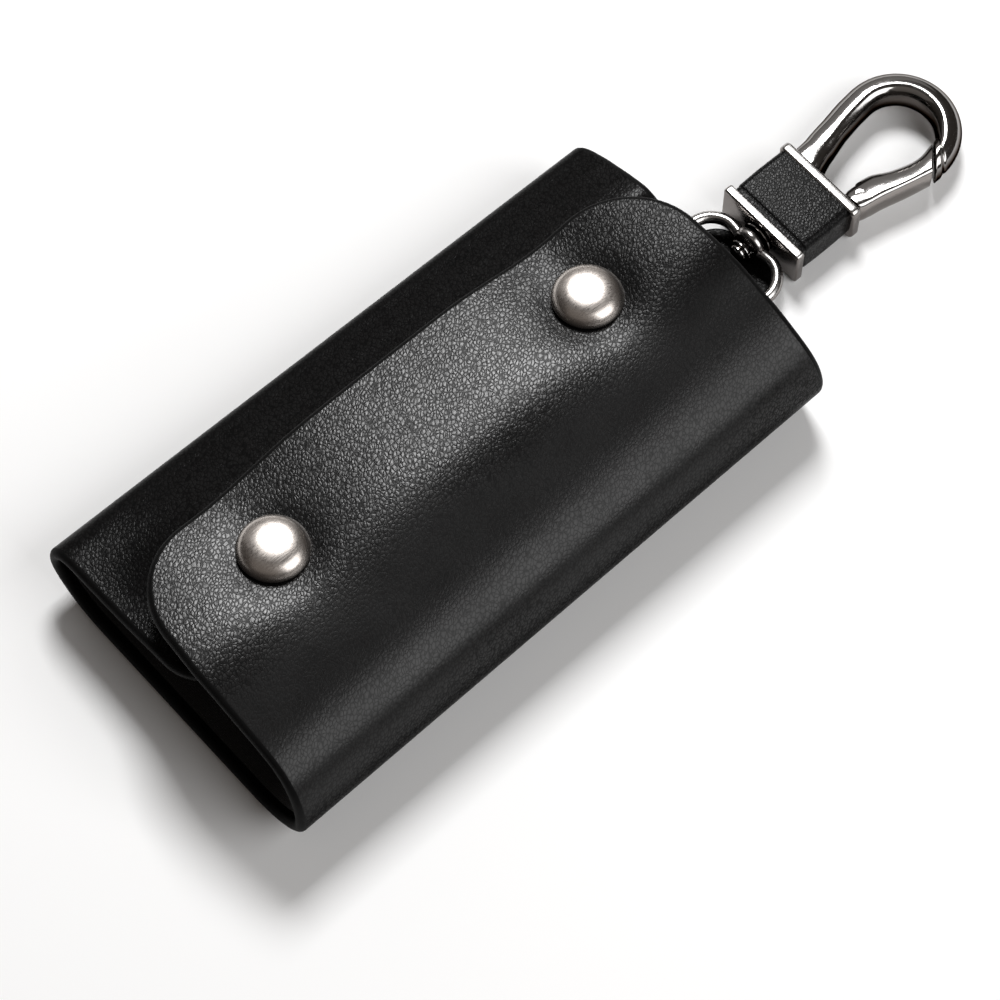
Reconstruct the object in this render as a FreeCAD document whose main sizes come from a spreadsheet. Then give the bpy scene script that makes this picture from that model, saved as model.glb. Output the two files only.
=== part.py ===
import FreeCAD, Part
import math
import os
import Sketcher

V = FreeCAD.Vector
Rot = FreeCAD.Rotation
Place = FreeCAD.Placement

doc = FreeCAD.newDocument("key_case")
sheet = doc.addObject("Spreadsheet::Sheet", "params")

# All sizes in millimetres. Frame: X along the case toward the snap hook, Y across
# the case toward the under-flap fold, Z up from the face the case rests on.
CELLS = [
    ("case_len", 103.0),        # back panel along X
    ("flap_len", 101.0),        # top flap along X
    ("under_len", 102.0),       # under flap along X
    ("leather_thk", 1.3),
    ("lining_thk", 0.6),
    ("flat_half", 17.0),        # half width of the flat resting strip
    ("fold_y", 24.5),           # fold circle centre, each side
    ("fold_z", 8.0),
    ("fold_rad", 3.0),
    ("crown_z", 22.0),          # top of the closed flap
    ("shoulder_y", 8.0),
    ("edge_rad", 25.9),         # flap curve toward its free edge
    ("edge_y", 15.3),           # flap free edge
    ("under_y", 6.0),           # under flap free edge (negative side)
    ("under_z", 16.6),
    ("hinge_z", 12.0),          # top flap bend line height
    ("split_gap", 0.3),
    ("flap_corner", 11.5),
    ("under_corner", 8.0),
    ("snap_x", 30.0),
    ("snap_y", 2.2),
    ("snap_z", 21.9),
    ("snap_tilt", 5.0),
    ("cap_rad", 5.1),
    ("cap_top", 2.95),
    ("post_hole", 1.75),
    ("rail_x", 37.3),
    ("rail_wid", 6.2),
    ("rail_len", 34.0),
    ("rail_thk", 0.8),
    ("ear_front", 33.6),
    ("ear_high", 3.5),
    ("rod_x", 35.4),
    ("rod_z", 3.6),
    ("rod_rad", 0.8),
    ("rod_len", 35.4),
    ("key_pitch", 5.4),
    ("knuckle_rad", 1.5),
    ("knuckle_bore", 0.85),
    ("knuckle_len", 4.2),
    ("key_wire", 0.6),
    ("rivet_x", 40.0),
    ("rivet_y", 9.0),
    ("rivet_rad", 1.0),
    ("burr_rad", 2.4),
    ("axis_y", -0.4),           # swivel axis
    ("axis_z", 3.75),
    ("strap_wid", 12.0),
    ("strap_rivet_x", 47.6),
    ("bar_x", 54.5),            # ring bar held by the strap
    ("ring_wire", 1.0),
    ("ring_half", 8.4),
    ("ring_top", 61.8),
    ("boss_rad", 2.3),
    ("boss_bore", 1.15),
    ("post_rad", 1.1),
    ("low_x", 63.6),            # lower end cap
    ("low_thk", 1.7),
    ("low_wid", 15.4),
    ("low_high", 7.5),
    ("band_len", 8.9),
    ("band_wid", 14.8),
    ("band_high", 7.1),
    ("core_wid", 12.4),
    ("core_high", 4.7),
    ("top_thk", 1.8),
    ("top_wid", 15.8),
    ("top_high", 7.5),
    ("hook_wid", 4.2),
    ("hook_high", 5.4),
    ("hook_cx", 91.8),
    ("hook_cy", -1.0),
    ("hook_rad", 7.78),
    ("gate_high", 5.2),
    ("gate_px", 78.9),
    ("gate_py", -5.7),
    ("pin_rad", 0.75),
    ("pin_bore", 0.8),
]
for row, (name, value) in enumerate(CELLS, start=1):
    sheet.set("A%d" % row, name)
    sheet.set("B%d" % row, "%g" % value)
    sheet.setAlias("B%d" % row, name)
doc.recompute()
P = {name: float(sheet.get(name)) for name, value in CELLS}

NODES = []


def node(obj, label):
    obj.Label = label
    NODES.append(obj)
    return obj


def place(obj, x=None, y=None, z=None, rot=None):
    obj.Placement = Place(V(0, 0, 0), rot if rot is not None else Rot())
    for axis, expr in (("x", x), ("y", y), ("z", z)):
        if expr is not None:
            obj.setExpression("Placement.Base." + axis, expr)
    return obj


def plane(body, role):
    return [f for f in body.Origin.OriginFeatures if f.Role == role][0]


def sketch(body, role, geo, lift=0.0):
    sk = body.newObject("Sketcher::SketchObject", "Outline")
    sk.AttachmentSupport = [(plane(body, role), "")]
    sk.MapMode = "FlatFace"
    sk.AttachmentOffset = Place(V(0, 0, lift), Rot())
    sk.addGeometry(geo, False)
    return sk


def seg(a, b):
    return Part.LineSegment(V(a[0], a[1], 0), V(b[0], b[1], 0))


def on(c, r, deg):
    t = math.radians(deg)
    return (c[0] + r * math.cos(t), c[1] + r * math.sin(t))


def arc(c, r, a0, a1):
    a, m, b = on(c, r, a0), on(c, r, 0.5 * (a0 + a1)), on(c, r, a1)
    return Part.Arc(V(a[0], a[1], 0), V(m[0], m[1], 0), V(b[0], b[1], 0))


def loop(points):
    return [seg(points[i], points[(i + 1) % len(points)]) for i in range(len(points))]


def band_outline(path, d0, d1):
    """Closed outline between two inward offsets of a path of arcs and lines."""
    def side(d):
        out = []
        for item in path:
            if item[0] == "A":
                _, c, r, a0, a1 = item
                out.append((on(c, r - d, a0), on(c, r - d, a1), (c, r - d, a0, a1)))
            else:
                _, p, q, n = item
                out.append(((p[0] + n[0] * d, p[1] + n[1] * d),
                            (q[0] + n[0] * d, q[1] + n[1] * d), None))
        return out
    outer, inner = side(d0), side(d1)
    geo = []
    for a, b, c in outer:
        geo.append(arc(*c) if c else seg(a, b))
    geo.append(seg(outer[-1][1], inner[-1][1]))
    for a, b, c in reversed(inner):
        geo.append(arc(c[0], c[1], c[3], c[2]) if c else seg(b, a))
    geo.append(seg(inner[0][0], outer[0][0]))
    return geo


def pad_body(name, role, geo, length_expr, symmetric=True, lift=0.0):
    body = doc.addObject("PartDesign::Body", name)
    sk = sketch(body, role, geo, lift)
    pad = body.newObject("PartDesign::Pad", "Pad")
    pad.Profile = sk
    pad.SideType = "Symmetric" if symmetric else "One side"
    pad.setExpression("Length", length_expr)
    sk.Visibility = False
    doc.recompute()
    return body


def turned(name, points, role="XZ_Plane"):
    """Body turned about the sketch's vertical axis; a point may carry an arc's middle."""
    geo = []
    n = len(points)
    for i in range(n):
        a, b = points[i], points[(i + 1) % n]
        if len(b) == 4:
            geo.append(Part.Arc(V(a[0], a[1], 0), V(b[2], b[3], 0), V(b[0], b[1], 0)))
        else:
            geo.append(seg(a, b))
    body = doc.addObject("PartDesign::Body", name)
    sk = sketch(body, role, geo)
    rev = body.newObject("PartDesign::Revolution", "Turn")
    rev.Profile = sk
    rev.ReferenceAxis = (sk, ["V_Axis"])
    rev.Angle = 360.0
    sk.Visibility = False
    doc.recompute()
    return body


def cylinder(name, rad, high, x=None, y=None, z=None, rot=None):
    c = doc.addObject("Part::Cylinder", name)
    c.setExpression("Radius", rad)
    c.setExpression("Height", high)
    return place(c, x, y, z, rot)


def block(name, lx, ly, lz, x, y, z):
    b = doc.addObject("Part::Box", name)
    b.setExpression("Length", lx)
    b.setExpression("Width", ly)
    b.setExpression("Height", lz)
    return place(b, x, y, z)


def fuse(name, items):
    f = doc.addObject("Part::MultiFuse", name)
    f.Shapes = items
    return f


def cut(name, base, tools):
    tool = tools[0]
    if len(tools) > 1:
        tool = doc.addObject("Part::Compound", name + "_tools")
        tool.Links = tools
    c = doc.addObject("Part::Cut", name)
    c.Base = base
    c.Tool = tool
    return c


def rounded(name, base, radius, pick):
    """Fillet of the edges of base that pick accepts."""
    doc.recompute()
    f = doc.addObject("Part::Fillet", name)
    f.Base = base
    f.Edges = [(i + 1, radius, radius) for i, e in enumerate(base.Shape.Edges) if pick(e)]
    return f


ALONG_X = Rot(V(0, 1, 0), 90)
ALONG_Y = Rot(V(1, 0, 0), -90)

# ---------------------------------------------------------------- leather section
t_lea = P["leather_thk"]
t_all = P["leather_thk"] + P["lining_thk"]
fy, fz, fr = P["fold_y"], P["fold_z"], P["fold_rad"]
fh = P["flat_half"]
# bottom curve: tangent to the floor strip and to the fold circle
dy = fy - fh
bot_r = (dy * dy + fz * fz - fr * fr) / (2 * (fz - fr))
cb_r, cb_l = (-fh, bot_r), (fh, bot_r)
cf_r, cf_l = (-fy, fz), (fy, fz)
# shoulder curve: tangent to the crown and to the fold circle
sy, cz = P["shoulder_y"], P["crown_z"]
dy = fy - sy
up = cz - fz
sho_r = (dy * dy + up * up - fr * fr) / (2 * (up - fr))
cs = (-sy, cz - sho_r)
# under flap curve: tangent to its free edge height and to the fold circle
uy, uz = P["under_y"], P["under_z"]
dy = fy + uy
up = uz - fz
und_r = (dy * dy + up * up - fr * fr) / (2 * (up - fr))
cu = (-uy, uz - und_r)


def bearing(c, p):
    return math.degrees(math.atan2(p[1] - c[1], p[0] - c[0]))


a_bot_r = bearing(cb_r, cf_r) % 360
a_bot_l = bearing(cb_l, cf_l) % 360
a_sho = bearing(cs, cf_r) % 360
a_und = bearing(cu, cf_l) % 360
a_hinge = 180 - math.degrees(math.asin((P["hinge_z"] - cs[1]) / sho_r))
a_fold_l = 45.0
half = P["split_gap"] / 2
d_top = math.degrees(half / sho_r)
d_und = math.degrees(half / fr)
c_edge = (0.0, cz - P["edge_rad"])
a_edge = math.degrees(math.acos(P["edge_y"] / P["edge_rad"]))

back_path = [
    ("A", cs, sho_r, a_hinge + d_top, a_sho),
    ("A", cf_r, fr, a_sho, a_bot_r),
    ("A", cb_r, bot_r, a_bot_r, 270.0),
    ("L", (-fh, 0.0), (fh, 0.0), (0.0, 1.0)),
    ("A", cb_l, bot_r, 270.0, a_bot_l),
    ("A", cf_l, fr, a_bot_l, 360.0 + a_fold_l - d_und),
]
flap_path = [
    ("A", cs, sho_r, a_hinge - d_top, 90.0),
    ("L", (-sy, cz), (0.0, cz), (0.0, -1.0)),
    ("A", c_edge, P["edge_rad"], 90.0, a_edge),
]
under_path = [
    ("A", cf_l, fr, a_fold_l + d_und, a_und),
    ("A", cu, und_r, a_und, 90.0),
]

# ---------------------------------------------------------------- back of the case
blank = pad_body("back_blank", "YZ_Plane", band_outline(back_path, 0.0, t_lea), "params.case_len")
tools = []
for i, (sx, ey) in enumerate((("params.rivet_x", "params.rivet_y"),
                              ("params.rivet_x", "-params.rivet_y"),
                              ("params.strap_rivet_x", "params.axis_y"))):
    tools.append(cylinder("burr_seat_%d" % i, "params.burr_rad + 0.05", "2",
                          sx, ey, "params.leather_thk - 0.5"))
node(cut("back_cut", blank, tools), "back_panel")

blank = pad_body("back_lining_blank", "YZ_Plane", band_outline(back_path, t_lea, t_all),
                 "params.case_len - 1")
tools = []
for i, (sx, ey) in enumerate((("params.rivet_x", "params.rivet_y"),
                              ("params.rivet_x", "-params.rivet_y"),
                              ("params.strap_rivet_x", "params.axis_y"))):
    tools.append(cylinder("shank_hole_%d" % i, "params.rivet_rad + 0.05", "4", sx, ey, "0.5"))
node(cut("back_lining_cut", blank, tools), "back_lining")

# ---------------------------------------------------------------- flaps
TILT = Rot(V(1, 0, 0), -P["snap_tilt"])


def corner_tool(name, half_len_expr, half_len, y_edge, rad, side, ysign):
    """Prism that rounds one free corner; side is the X sign, ysign the edge's Y sign."""
    x1 = half_len
    c = (x1 - rad, y_edge - ysign * rad)
    a0, a1 = (90.0, 0.0) if ysign > 0 else (-90.0, 0.0)
    geo = [arc(c, rad, a0, a1)]
    s, e = on(c, rad, a0), on(c, rad, a1)
    o1, o2, o3 = (e[0] + 3, e[1]), (e[0] + 3, s[1] + 3 * ysign), (s[0], s[1] + 3 * ysign)
    geo += [seg(e, o1), seg(o1, o2), seg(o2, o3), seg(o3, s)]
    body = pad_body(name, "XY_Plane", geo, "params.crown_z * 4")
    if side < 0:
        body.Placement = Place(V(0, 0, 0), Rot())
        mir = doc.addObject("Part::Mirroring", name + "_m")
        mir.Source = body
        mir.Normal = V(1, 0, 0)
        return mir
    return body


def snap_place(obj, side):
    return place(obj, ("" if side > 0 else "-") + "params.snap_x", "params.snap_y",
                 "params.snap_z", TILT)


def flap(label, outline, length, length_expr, y_edge, rad_name, ysign, holes, seat):
    blank = pad_body(label + "_blank", "YZ_Plane", outline, length_expr)
    tools = []
    for side, tag in ((1, "far"), (-1, "near")):
        tools.append(corner_tool("%s_corner_%s" % (label, tag), length_expr, length / 2, y_edge,
                                 P[rad_name], side, ysign))
        h = doc.addObject("Part::Cylinder", "%s_hole_%s" % (label, tag))
        h.setExpression("Radius", holes)
        h.Height = 12.0
        snap_place(h, side)
        h.setExpression("Placement.Base.z", "params.snap_z - 10.5 * cos(params.snap_tilt * 1deg)")
        h.setExpression("Placement.Base.y", "params.snap_y - 10.5 * sin(params.snap_tilt * 1deg)")
        tools.append(h)
        if seat:
            # flat seat: above it under the cap, or below it over the socket flange
            depth, high, rad = seat
            s = doc.addObject("Part::Cylinder", "%s_seat_%s" % (label, tag))
            s.setExpression("Radius", rad)
            s.Height = high
            snap_place(s, side)
            s.setExpression("Placement.Base.z", "params.snap_z - %g * cos(params.snap_tilt * 1deg)" % depth)
            s.setExpression("Placement.Base.y", "params.snap_y - %g * sin(params.snap_tilt * 1deg)" % depth)
            tools.append(s)
    return node(cut(label + "_cut", blank, tools), label)


flap("top_flap_leather", band_outline(flap_path, 0.0, t_lea), P["flap_len"], "params.flap_len",
     P["edge_y"], "flap_corner", 1, "params.post_hole", (0.45, 5.0, "params.cap_rad + 0.1"))
flap("top_flap_lining", band_outline(flap_path, t_lea, t_all), P["flap_len"] - 1.0,
     "params.flap_len - 1", P["edge_y"] - 0.5, "flap_corner", 1, "params.post_hole",
     (5.2, 3.0, "4.45"))
flap("under_flap_leather", band_outline(under_path, 0.0, t_lea), P["under_len"], "params.under_len",
     -P["under_y"], "under_corner", -1, "params.post_hole - 0.35", None)
flap("under_flap_lining", band_outline(under_path, t_lea, t_all), P["under_len"] - 1.0,
     "params.under_len - 1", -P["under_y"] + 0.5, "under_corner", -1, "params.post_hole - 0.35", None)

# ---------------------------------------------------------------- snap fasteners
cr, ct = P["cap_rad"], P["cap_top"]
dome_r = (cr * cr + (ct - 0.15) ** 2) / (2 * (ct - 0.15))
mid = 0.5 * math.asin(cr / dome_r)
dome_mid = (dome_r * math.sin(mid), ct - dome_r + dome_r * math.cos(mid))
s_und = -5.62
for side, tag in ((-1, "near"), (1, "far")):
    body = turned("cap_" + tag, [(0, -2.7), (1.5, -2.7), (1.5, -0.45), (cr, -0.45), (cr, 0.15),
                                 (0, ct, dome_mid[0], dome_mid[1])])
    node(snap_place(body, side), "snap_cap_" + tag)
    body = turned("socket_" + tag, [(1.5, -2.2), (4.3, -2.2), (4.3, -2.55), (3.9, -2.6),
                                    (3.9, -4.3), (3.6, -4.5), (3.2, -4.5), (3.0, -4.3), (3.0, -3.05),
                                    (0, -3.05), (0, -2.7), (1.5, -2.7)])
    node(snap_place(body, side), "snap_socket_" + tag)
    body = turned("stud_" + tag, [(0, -8.0), (1.2, -8.0), (1.2, s_und), (3.6, s_und),
                                  (3.6, -5.2), (2.3, -5.2), (1.9, -3.7), (1.3, -3.3), (0, -3.3)])
    node(snap_place(body, side), "snap_stud_" + tag)
    body = turned("eyelet_" + tag, [(1.2, -7.68), (3.4, -7.68), (3.0, -8.1), (1.2, -8.1)])
    node(snap_place(body, side), "stud_eyelet_" + tag)

# ---------------------------------------------------------------- key rail and its fasteners
floor_z = "params.leather_thk + params.lining_thk"
plate = block("rail_plate", "params.rail_wid", "params.rail_len", "params.rail_thk",
              "params.rail_x", "-params.rail_len / 2", floor_z)
ears = []
for i, ey in enumerate(("-params.rail_len / 2", "params.rail_len / 2 - 1")):
    ears.append(block("rail_ear_%d" % i, "params.rail_x + params.rail_wid - params.ear_front", "1",
                      "params.ear_high", "params.ear_front", ey, floor_z))
lip = block("rail_lip", "0.8", "params.rail_len", "1.8",
            "params.rail_x + params.rail_wid - 0.8", "-params.rail_len / 2", floor_z)
body = fuse("rail_fuse", [plate, lip] + ears)
tools = [cylinder("rod_hole", "params.rod_rad", "params.rail_len + 4", "params.rod_x",
                  "-params.rail_len / 2 - 2", "params.rod_z", ALONG_Y)]
for i, ey in enumerate(("params.rivet_y", "-params.rivet_y")):
    tools.append(cylinder("rail_hole_%d" % i, "params.rivet_rad", "4", "params.rivet_x", ey, "1"))
node(cut("rail_cut", body, tools), "key_rail")

rod = cylinder("rod", "params.rod_rad", "params.rod_len", "params.rod_x",
               "-params.rod_len / 2", "params.rod_z", ALONG_Y)
node(rod, "hook_rod")

z_in = t_all


def dome(rad, base, high):
    """Apex point of a spherical head with the arc's middle, for a turned outline."""
    r = (rad * rad + high * high) / (2 * high)
    half_angle = 0.5 * math.asin(rad / r)
    return (0, base + high, r * math.sin(half_angle), base + high - r + r * math.cos(half_angle))


heads, burrs = [], []
for i, (sx, ey, top) in enumerate((("params.rivet_x", "params.rivet_y", z_in + P["rail_thk"]),
                                   ("params.rivet_x", "-params.rivet_y", z_in + P["rail_thk"]))):
    r = turned("rivet_%d" % i, [(0, t_lea - 0.5), (P["rivet_rad"], t_lea - 0.5), (P["rivet_rad"], top),
                                (1.9, top), (1.9, top + 0.2), dome(1.9, top + 0.2, 0.5)])
    heads.append(place(r, sx, ey, "0"))
g = doc.addObject("Part::Compound", "rivet_group")
g.Links = heads
node(g, "rail_rivets")
for i, (sx, ey) in enumerate((("params.rivet_x", "params.rivet_y"),
                              ("params.rivet_x", "-params.rivet_y"),
                              ("params.strap_rivet_x", "params.axis_y"))):
    b = turned("burr_%d" % i, [(P["rivet_rad"], t_lea - 0.5), (P["burr_rad"], t_lea - 0.5),
                               (P["burr_rad"], t_lea), (P["rivet_rad"], t_lea)])
    burrs.append(place(b, sx, ey, "0"))
g = doc.addObject("Part::Compound", "burr_group")
g.Links = burrs
node(g, "rivet_burrs")

# ---------------------------------------------------------------- ring strap
bx, az, wr = P["bar_x"], P["axis_z"], P["ring_wire"]
ro = wr + 2.2
eye = (bx, az)
lo = on(eye, ro, -80.0)
hi = on(eye, ro, 125.0)
geo = [arc(eye, ro, -80.0, 125.0), seg(hi, (50.0, z_in + 2.0)), seg((50.0, z_in + 2.0), (44.6, z_in + 2.0)),
       seg((44.6, z_in + 2.0), (44.6, z_in)), seg((44.6, z_in), (51.6, z_in)), seg((51.6, z_in), lo)]
blank = pad_body("strap_blank", "XZ_Plane", geo, "params.strap_wid")
place(blank, "0", "params.axis_y", "0")
tools = [cylinder("strap_eye", "params.ring_wire + 0.12", "params.strap_wid + 4", "params.bar_x",
                  "params.axis_y - params.strap_wid / 2 - 2", "params.axis_z", ALONG_Y),
         cylinder("strap_hole", "params.rivet_rad", "9", "params.strap_rivet_x", "params.axis_y", "1")]
node(cut("strap_cut", blank, tools), "ring_strap")
top = z_in + 2.0
r = turned("strap_rivet_body", [(0, t_lea - 0.5), (P["rivet_rad"], t_lea - 0.5), (P["rivet_rad"], top),
                                (2.4, top), (2.4, top + 0.2), dome(2.4, top + 0.2, 0.6)])
node(place(r, "params.strap_rivet_x", "params.axis_y", "0"), "strap_rivet")

# ---------------------------------------------------------------- swivel ring
rh, rt = P["ring_half"], P["ring_top"]
ca, cbk = 4.6, 2.6


def bend(name, rad, cx, cy, start):
    """Quarter of a torus of the ring's wire, turned to the start angle."""
    t = doc.addObject("Part::Torus", name)
    t.Radius1 = rad
    t.setExpression("Radius2", "params.ring_wire")
    t.Angle3 = 90.0
    t.Placement = Place(V(cx, cy, 0), Rot(V(0, 0, 1), start))
    return t


def run(name, p, q):
    c = doc.addObject("Part::Cylinder", name)
    c.setExpression("Radius", "params.ring_wire")
    v = V(q[0] - p[0], q[1] - p[1], 0)
    c.Height = v.Length
    c.Placement = Place(V(p[0], p[1], 0), Rot(V(0, 0, 1), v))
    return c


wires = [
    run("ring_bar", (bx, -(rh - cbk)), (bx, rh - cbk)),
    bend("ring_bend_1", cbk, bx + cbk, -(rh - cbk), 180.0),
    run("ring_leg_1", (bx + cbk, -rh), (rt - ca, -rh)),
    bend("ring_bend_2", ca, rt - ca, -(rh - ca), 270.0),
    run("ring_head", (rt, -(rh - ca)), (rt, rh - ca)),
    bend("ring_bend_3", ca, rt - ca, rh - ca, 0.0),
    run("ring_leg_2", (rt - ca, rh), (bx + cbk, rh)),
    bend("ring_bend_4", cbk, bx + cbk, rh - cbk, 90.0),
]
boss = cylinder("ring_boss", "params.boss_rad", "2.4", "params.ring_top - 1.4", "0", "0", ALONG_X)
bore = cylinder("ring_bore", "params.boss_bore", "8", "params.ring_top - 4", "0", "0", ALONG_X)
ring = cut("ring_cut", fuse("ring_fuse", wires + [boss]), [bore])
node(place(ring, "0", "params.axis_y", "params.axis_z"), "swivel_ring")

# ---------------------------------------------------------------- swivel post and hook block
pr = P["post_rad"]
lx = P["low_x"]
post = turned("post", [(0, 58.3), (2.0, 59.4, 1.5, 58.6), (2.0, 60.25), (pr, 60.25), (pr, lx - 0.35),
                       (1.9, lx - 0.35), (1.9, lx), (1.5, lx), (1.5, lx + 3.4), (0, lx + 3.4)])
place(post, "0", "params.axis_y", "params.axis_z", ALONG_X)
node(post, "swivel_post")
washer = turned("washer", [(pr, lx - 0.7), (2.7, lx - 0.7), (2.7, lx - 0.35), (pr, lx - 0.35)])
place(washer, "0", "params.axis_y", "params.axis_z", ALONG_X)
node(washer, "swivel_washer")


def slab(name, x, lx_, ly, lz):
    return block(name, lx_, ly, lz, x, "-(%s) / 2" % ly, "-(%s) / 2" % lz)


def near(v, w):
    return abs(v - w) < 1e-6


def set_on_axis(obj, label):
    return node(place(obj, "0", "params.axis_y", "params.axis_z"), label)


low = slab("low_block", "params.low_x", "params.low_thk", "params.low_wid", "params.low_high")
low = rounded("low_soft", low, 0.35, lambda e: True)
low = cut("low_cut", low, [cylinder("low_hole", "1.5", "6", "params.low_x - 2", "0", "0", ALONG_X)])
set_on_axis(low, "lower_cap")

band_x = "params.low_x + params.low_thk"
outer = slab("band_outer", band_x, "params.band_len", "params.band_wid", "params.band_high")
outer = rounded("band_soft", outer, 1.2,
                lambda e: e.Length > P["band_len"] - 0.01 and near(abs(e.tangentAt(e.FirstParameter).x), 1.0))
inner = slab("band_inner", band_x, "params.band_len", "params.core_wid", "params.core_high")
set_on_axis(cut("band_cut", outer, [inner]), "leather_band")

core = slab("core_block", band_x, "params.band_len", "params.core_wid", "params.core_high")
leg_y = P["hook_cy"]  # leg line solved below from the hook circle
a_leg = 101.5
c_hook = (P["hook_cx"], P["hook_cy"])
leg_top = on(c_hook, P["hook_rad"], a_leg)
slope = math.tan(math.radians(a_leg - 90.0))
cap_top = P["low_x"] + P["low_thk"] + P["band_len"] + P["top_thk"]
leg_y = leg_top[1] - (leg_top[0] - cap_top) * slope
peg_leg = doc.addObject("Part::Box", "peg_leg")
peg_leg.Length, peg_leg.Width, peg_leg.Height = 8.0, 3.0, 3.6
peg_leg.Placement = Place(V(cap_top - 8.0, leg_y - 1.5, -1.8), Rot())
peg_gate = doc.addObject("Part::Box", "peg_gate")
peg_gate.Length, peg_gate.Width, peg_gate.Height = 8.0, 2.2, 1.5
peg_gate.Placement = Place(V(cap_top - 8.0, -6.2, -1.45), Rot())
post_hole = cylinder("core_hole", "1.5", "3.4", "params.low_x", "0", "0", ALONG_X)
set_on_axis(cut("core_cut", core, [post_hole, peg_leg, peg_gate]), "block_core")

cap = slab("top_block", band_x + " + params.band_len", "params.top_thk", "params.top_wid", "params.top_high")
cap = rounded("top_soft", cap, 0.85, lambda e: True)
set_on_axis(cut("top_cut", cap, [peg_leg, peg_gate]), "upper_cap")

# ---------------------------------------------------------------- hook loop
hw, hh, hr = P["hook_wid"], P["hook_high"], P["hook_rad"]


def rounded_section(w, h, r, origin, xdir):
    """Closed wire w across by h tall with corner radius r; xdir is the across direction."""
    a, b = w / 2, h / 2
    pts = []
    geo = []
    c = [(a - r, b - r, 0), (-(a - r), b - r, 90), (-(a - r), -(b - r), 180), (a - r, -(b - r), 270)]
    for cx, cy, a0 in c:
        geo.append(((cx, cy), a0))
    edges = []
    for k in range(4):
        (cx, cy), a0 = geo[k]
        (nx, ny), na0 = geo[(k + 1) % 4]
        def world(p):
            return origin + xdir * p[0] + V(0, 0, 1) * p[1]
        s, m, e = on((cx, cy), r, a0), on((cx, cy), r, a0 + 45), on((cx, cy), r, a0 + 90)
        edges.append(Part.Arc(world(s), world(m), world(e)).toShape())
        s2 = on((nx, ny), r, na0)
        if math.hypot(s2[0] - e[0], s2[1] - e[1]) > 1e-6:
            edges.append(Part.LineSegment(world(e), world(s2)).toShape())
    return Part.Wire(edges)


foot = 4.0
d = V(math.cos(math.radians(a_leg - 90.0)), math.sin(math.radians(a_leg - 90.0)), 0)
n = V(-d.y, d.x, 0)
leg_root = V(cap_top, leg_y, 0)
neck = leg_root + d * foot
top_pt = V(leg_top[0], leg_top[1], 0)
a_end = -100.0
spine = Part.Wire([Part.LineSegment(neck, top_pt).toShape(), arc(c_hook, hr, a_leg, a_end).toShape()])
sec = rounded_section(hw, hh, 1.75, neck, n)
loop_tube = doc.addObject("Part::Feature", "hook_tube")
loop_tube.Shape = Part.Solid(spine.makePipeShell([sec], True, False))
foot_low = rounded_section(5.2, 6.2, 1.2, V(cap_top, leg_y + 0.1, 0), V(0, 1, 0))
foot_body = doc.addObject("Part::Feature", "hook_foot")
foot_body.Shape = Part.makeLoft([foot_low, sec], True, True)

# slanted parting face between hook nose and gate
tip_in, tip_out = (94.0, -6.2), (89.4, -10.66)
dx, dyy = tip_in[0] - tip_out[0], tip_in[1] - tip_out[1]
ln = math.hypot(dx, dyy)
dx, dyy = dx / ln, dyy / ln
nx, ny = dyy, -dx          # from the gate toward the nose


def half_space(name, off, toward_gate):
    """Prism on one side of the parting line moved by off toward the nose."""
    s = -14.0 if toward_gate else 14.0
    a = (tip_out[0] + nx * off - dx * 1.2, tip_out[1] + ny * off - dyy * 1.2)
    b = (tip_in[0] + nx * off + dx * 0.9, tip_in[1] + ny * off + dyy * 0.9)
    c = (b[0] + nx * s, b[1] + ny * s)
    e = (a[0] + nx * s, a[1] + ny * s)
    return pad_body(name, "XY_Plane", loop([a, b, c, e]), "params.hook_high * 2")


nose_cut = half_space("nose_tool", 0.3, True)
hook = cut("hook_cut", fuse("hook_fuse", [loop_tube, foot_body, peg_leg]), [nose_cut])
set_on_axis(hook, "hook_loop")

# ---------------------------------------------------------------- gate and its hinge
gpx, gpy = P["gate_px"], P["gate_py"]
root_r = 2.35
root_c = (gpx, gpy)
root_in, root_out = on(root_c, root_r, 80.0), on(root_c, root_r, 255.0)


def spline(points, t0=None, t1=None):
    c = Part.BSplineCurve()
    kw = {}
    if t0 is not None:
        kw = {"InitialTangent": V(t0[0], t0[1], 0), "FinalTangent": V(t1[0], t1[1], 0)}
    c.interpolate([V(p[0], p[1], 0) for p in points], **kw)
    return c


t_in0 = (math.sin(math.radians(80)), -math.cos(math.radians(80)))
t_out1 = (-math.sin(math.radians(75)), math.cos(math.radians(75)))
inside = spline([root_in, (82.9, -3.75), (86.0, -5.35), (90.2, -6.55), tip_in], t_in0, (0.96, 0.14))
outside = spline([tip_out, (85.4, -9.75), (81.8, -8.75), root_out], (-0.97, 0.16), t_out1)
geo = [arc(root_c, root_r, 255.0, 80.0), inside, seg(tip_in, tip_out), outside]
blank = pad_body("gate_blank", "XY_Plane", geo, "params.gate_high")


def is_flank(e):
    bb = e.BoundBox
    flat = bb.ZLength < 1e-6
    mx = e.valueAt(0.5 * (e.FirstParameter + e.LastParameter))
    on_tip = abs((mx.x - tip_out[0]) * nx + (mx.y - tip_out[1]) * ny) < 1e-3
    return flat and not on_tip


soft = rounded("gate_soft", blank, 1.2, is_flank)
slot = doc.addObject("Part::Cylinder", "gate_slot")
slot.Radius, slot.Height = 2.75, 3.1
slot.Placement = Place(V(gpx, gpy, -1.55), Rot())
mouth = doc.addObject("Part::Box", "gate_mouth")
mouth.Length, mouth.Width, mouth.Height = 6.0, 9.0, 3.1
mouth.Placement = Place(V(gpx - 6.0, gpy - 4.5, -1.55), Rot())
pin_hole = cylinder("gate_hole", "params.pin_bore", "12", "params.gate_px", "params.gate_py", "-6")
set_on_axis(cut("gate_cut", soft, [slot, mouth, pin_hole]), "gate")

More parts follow.
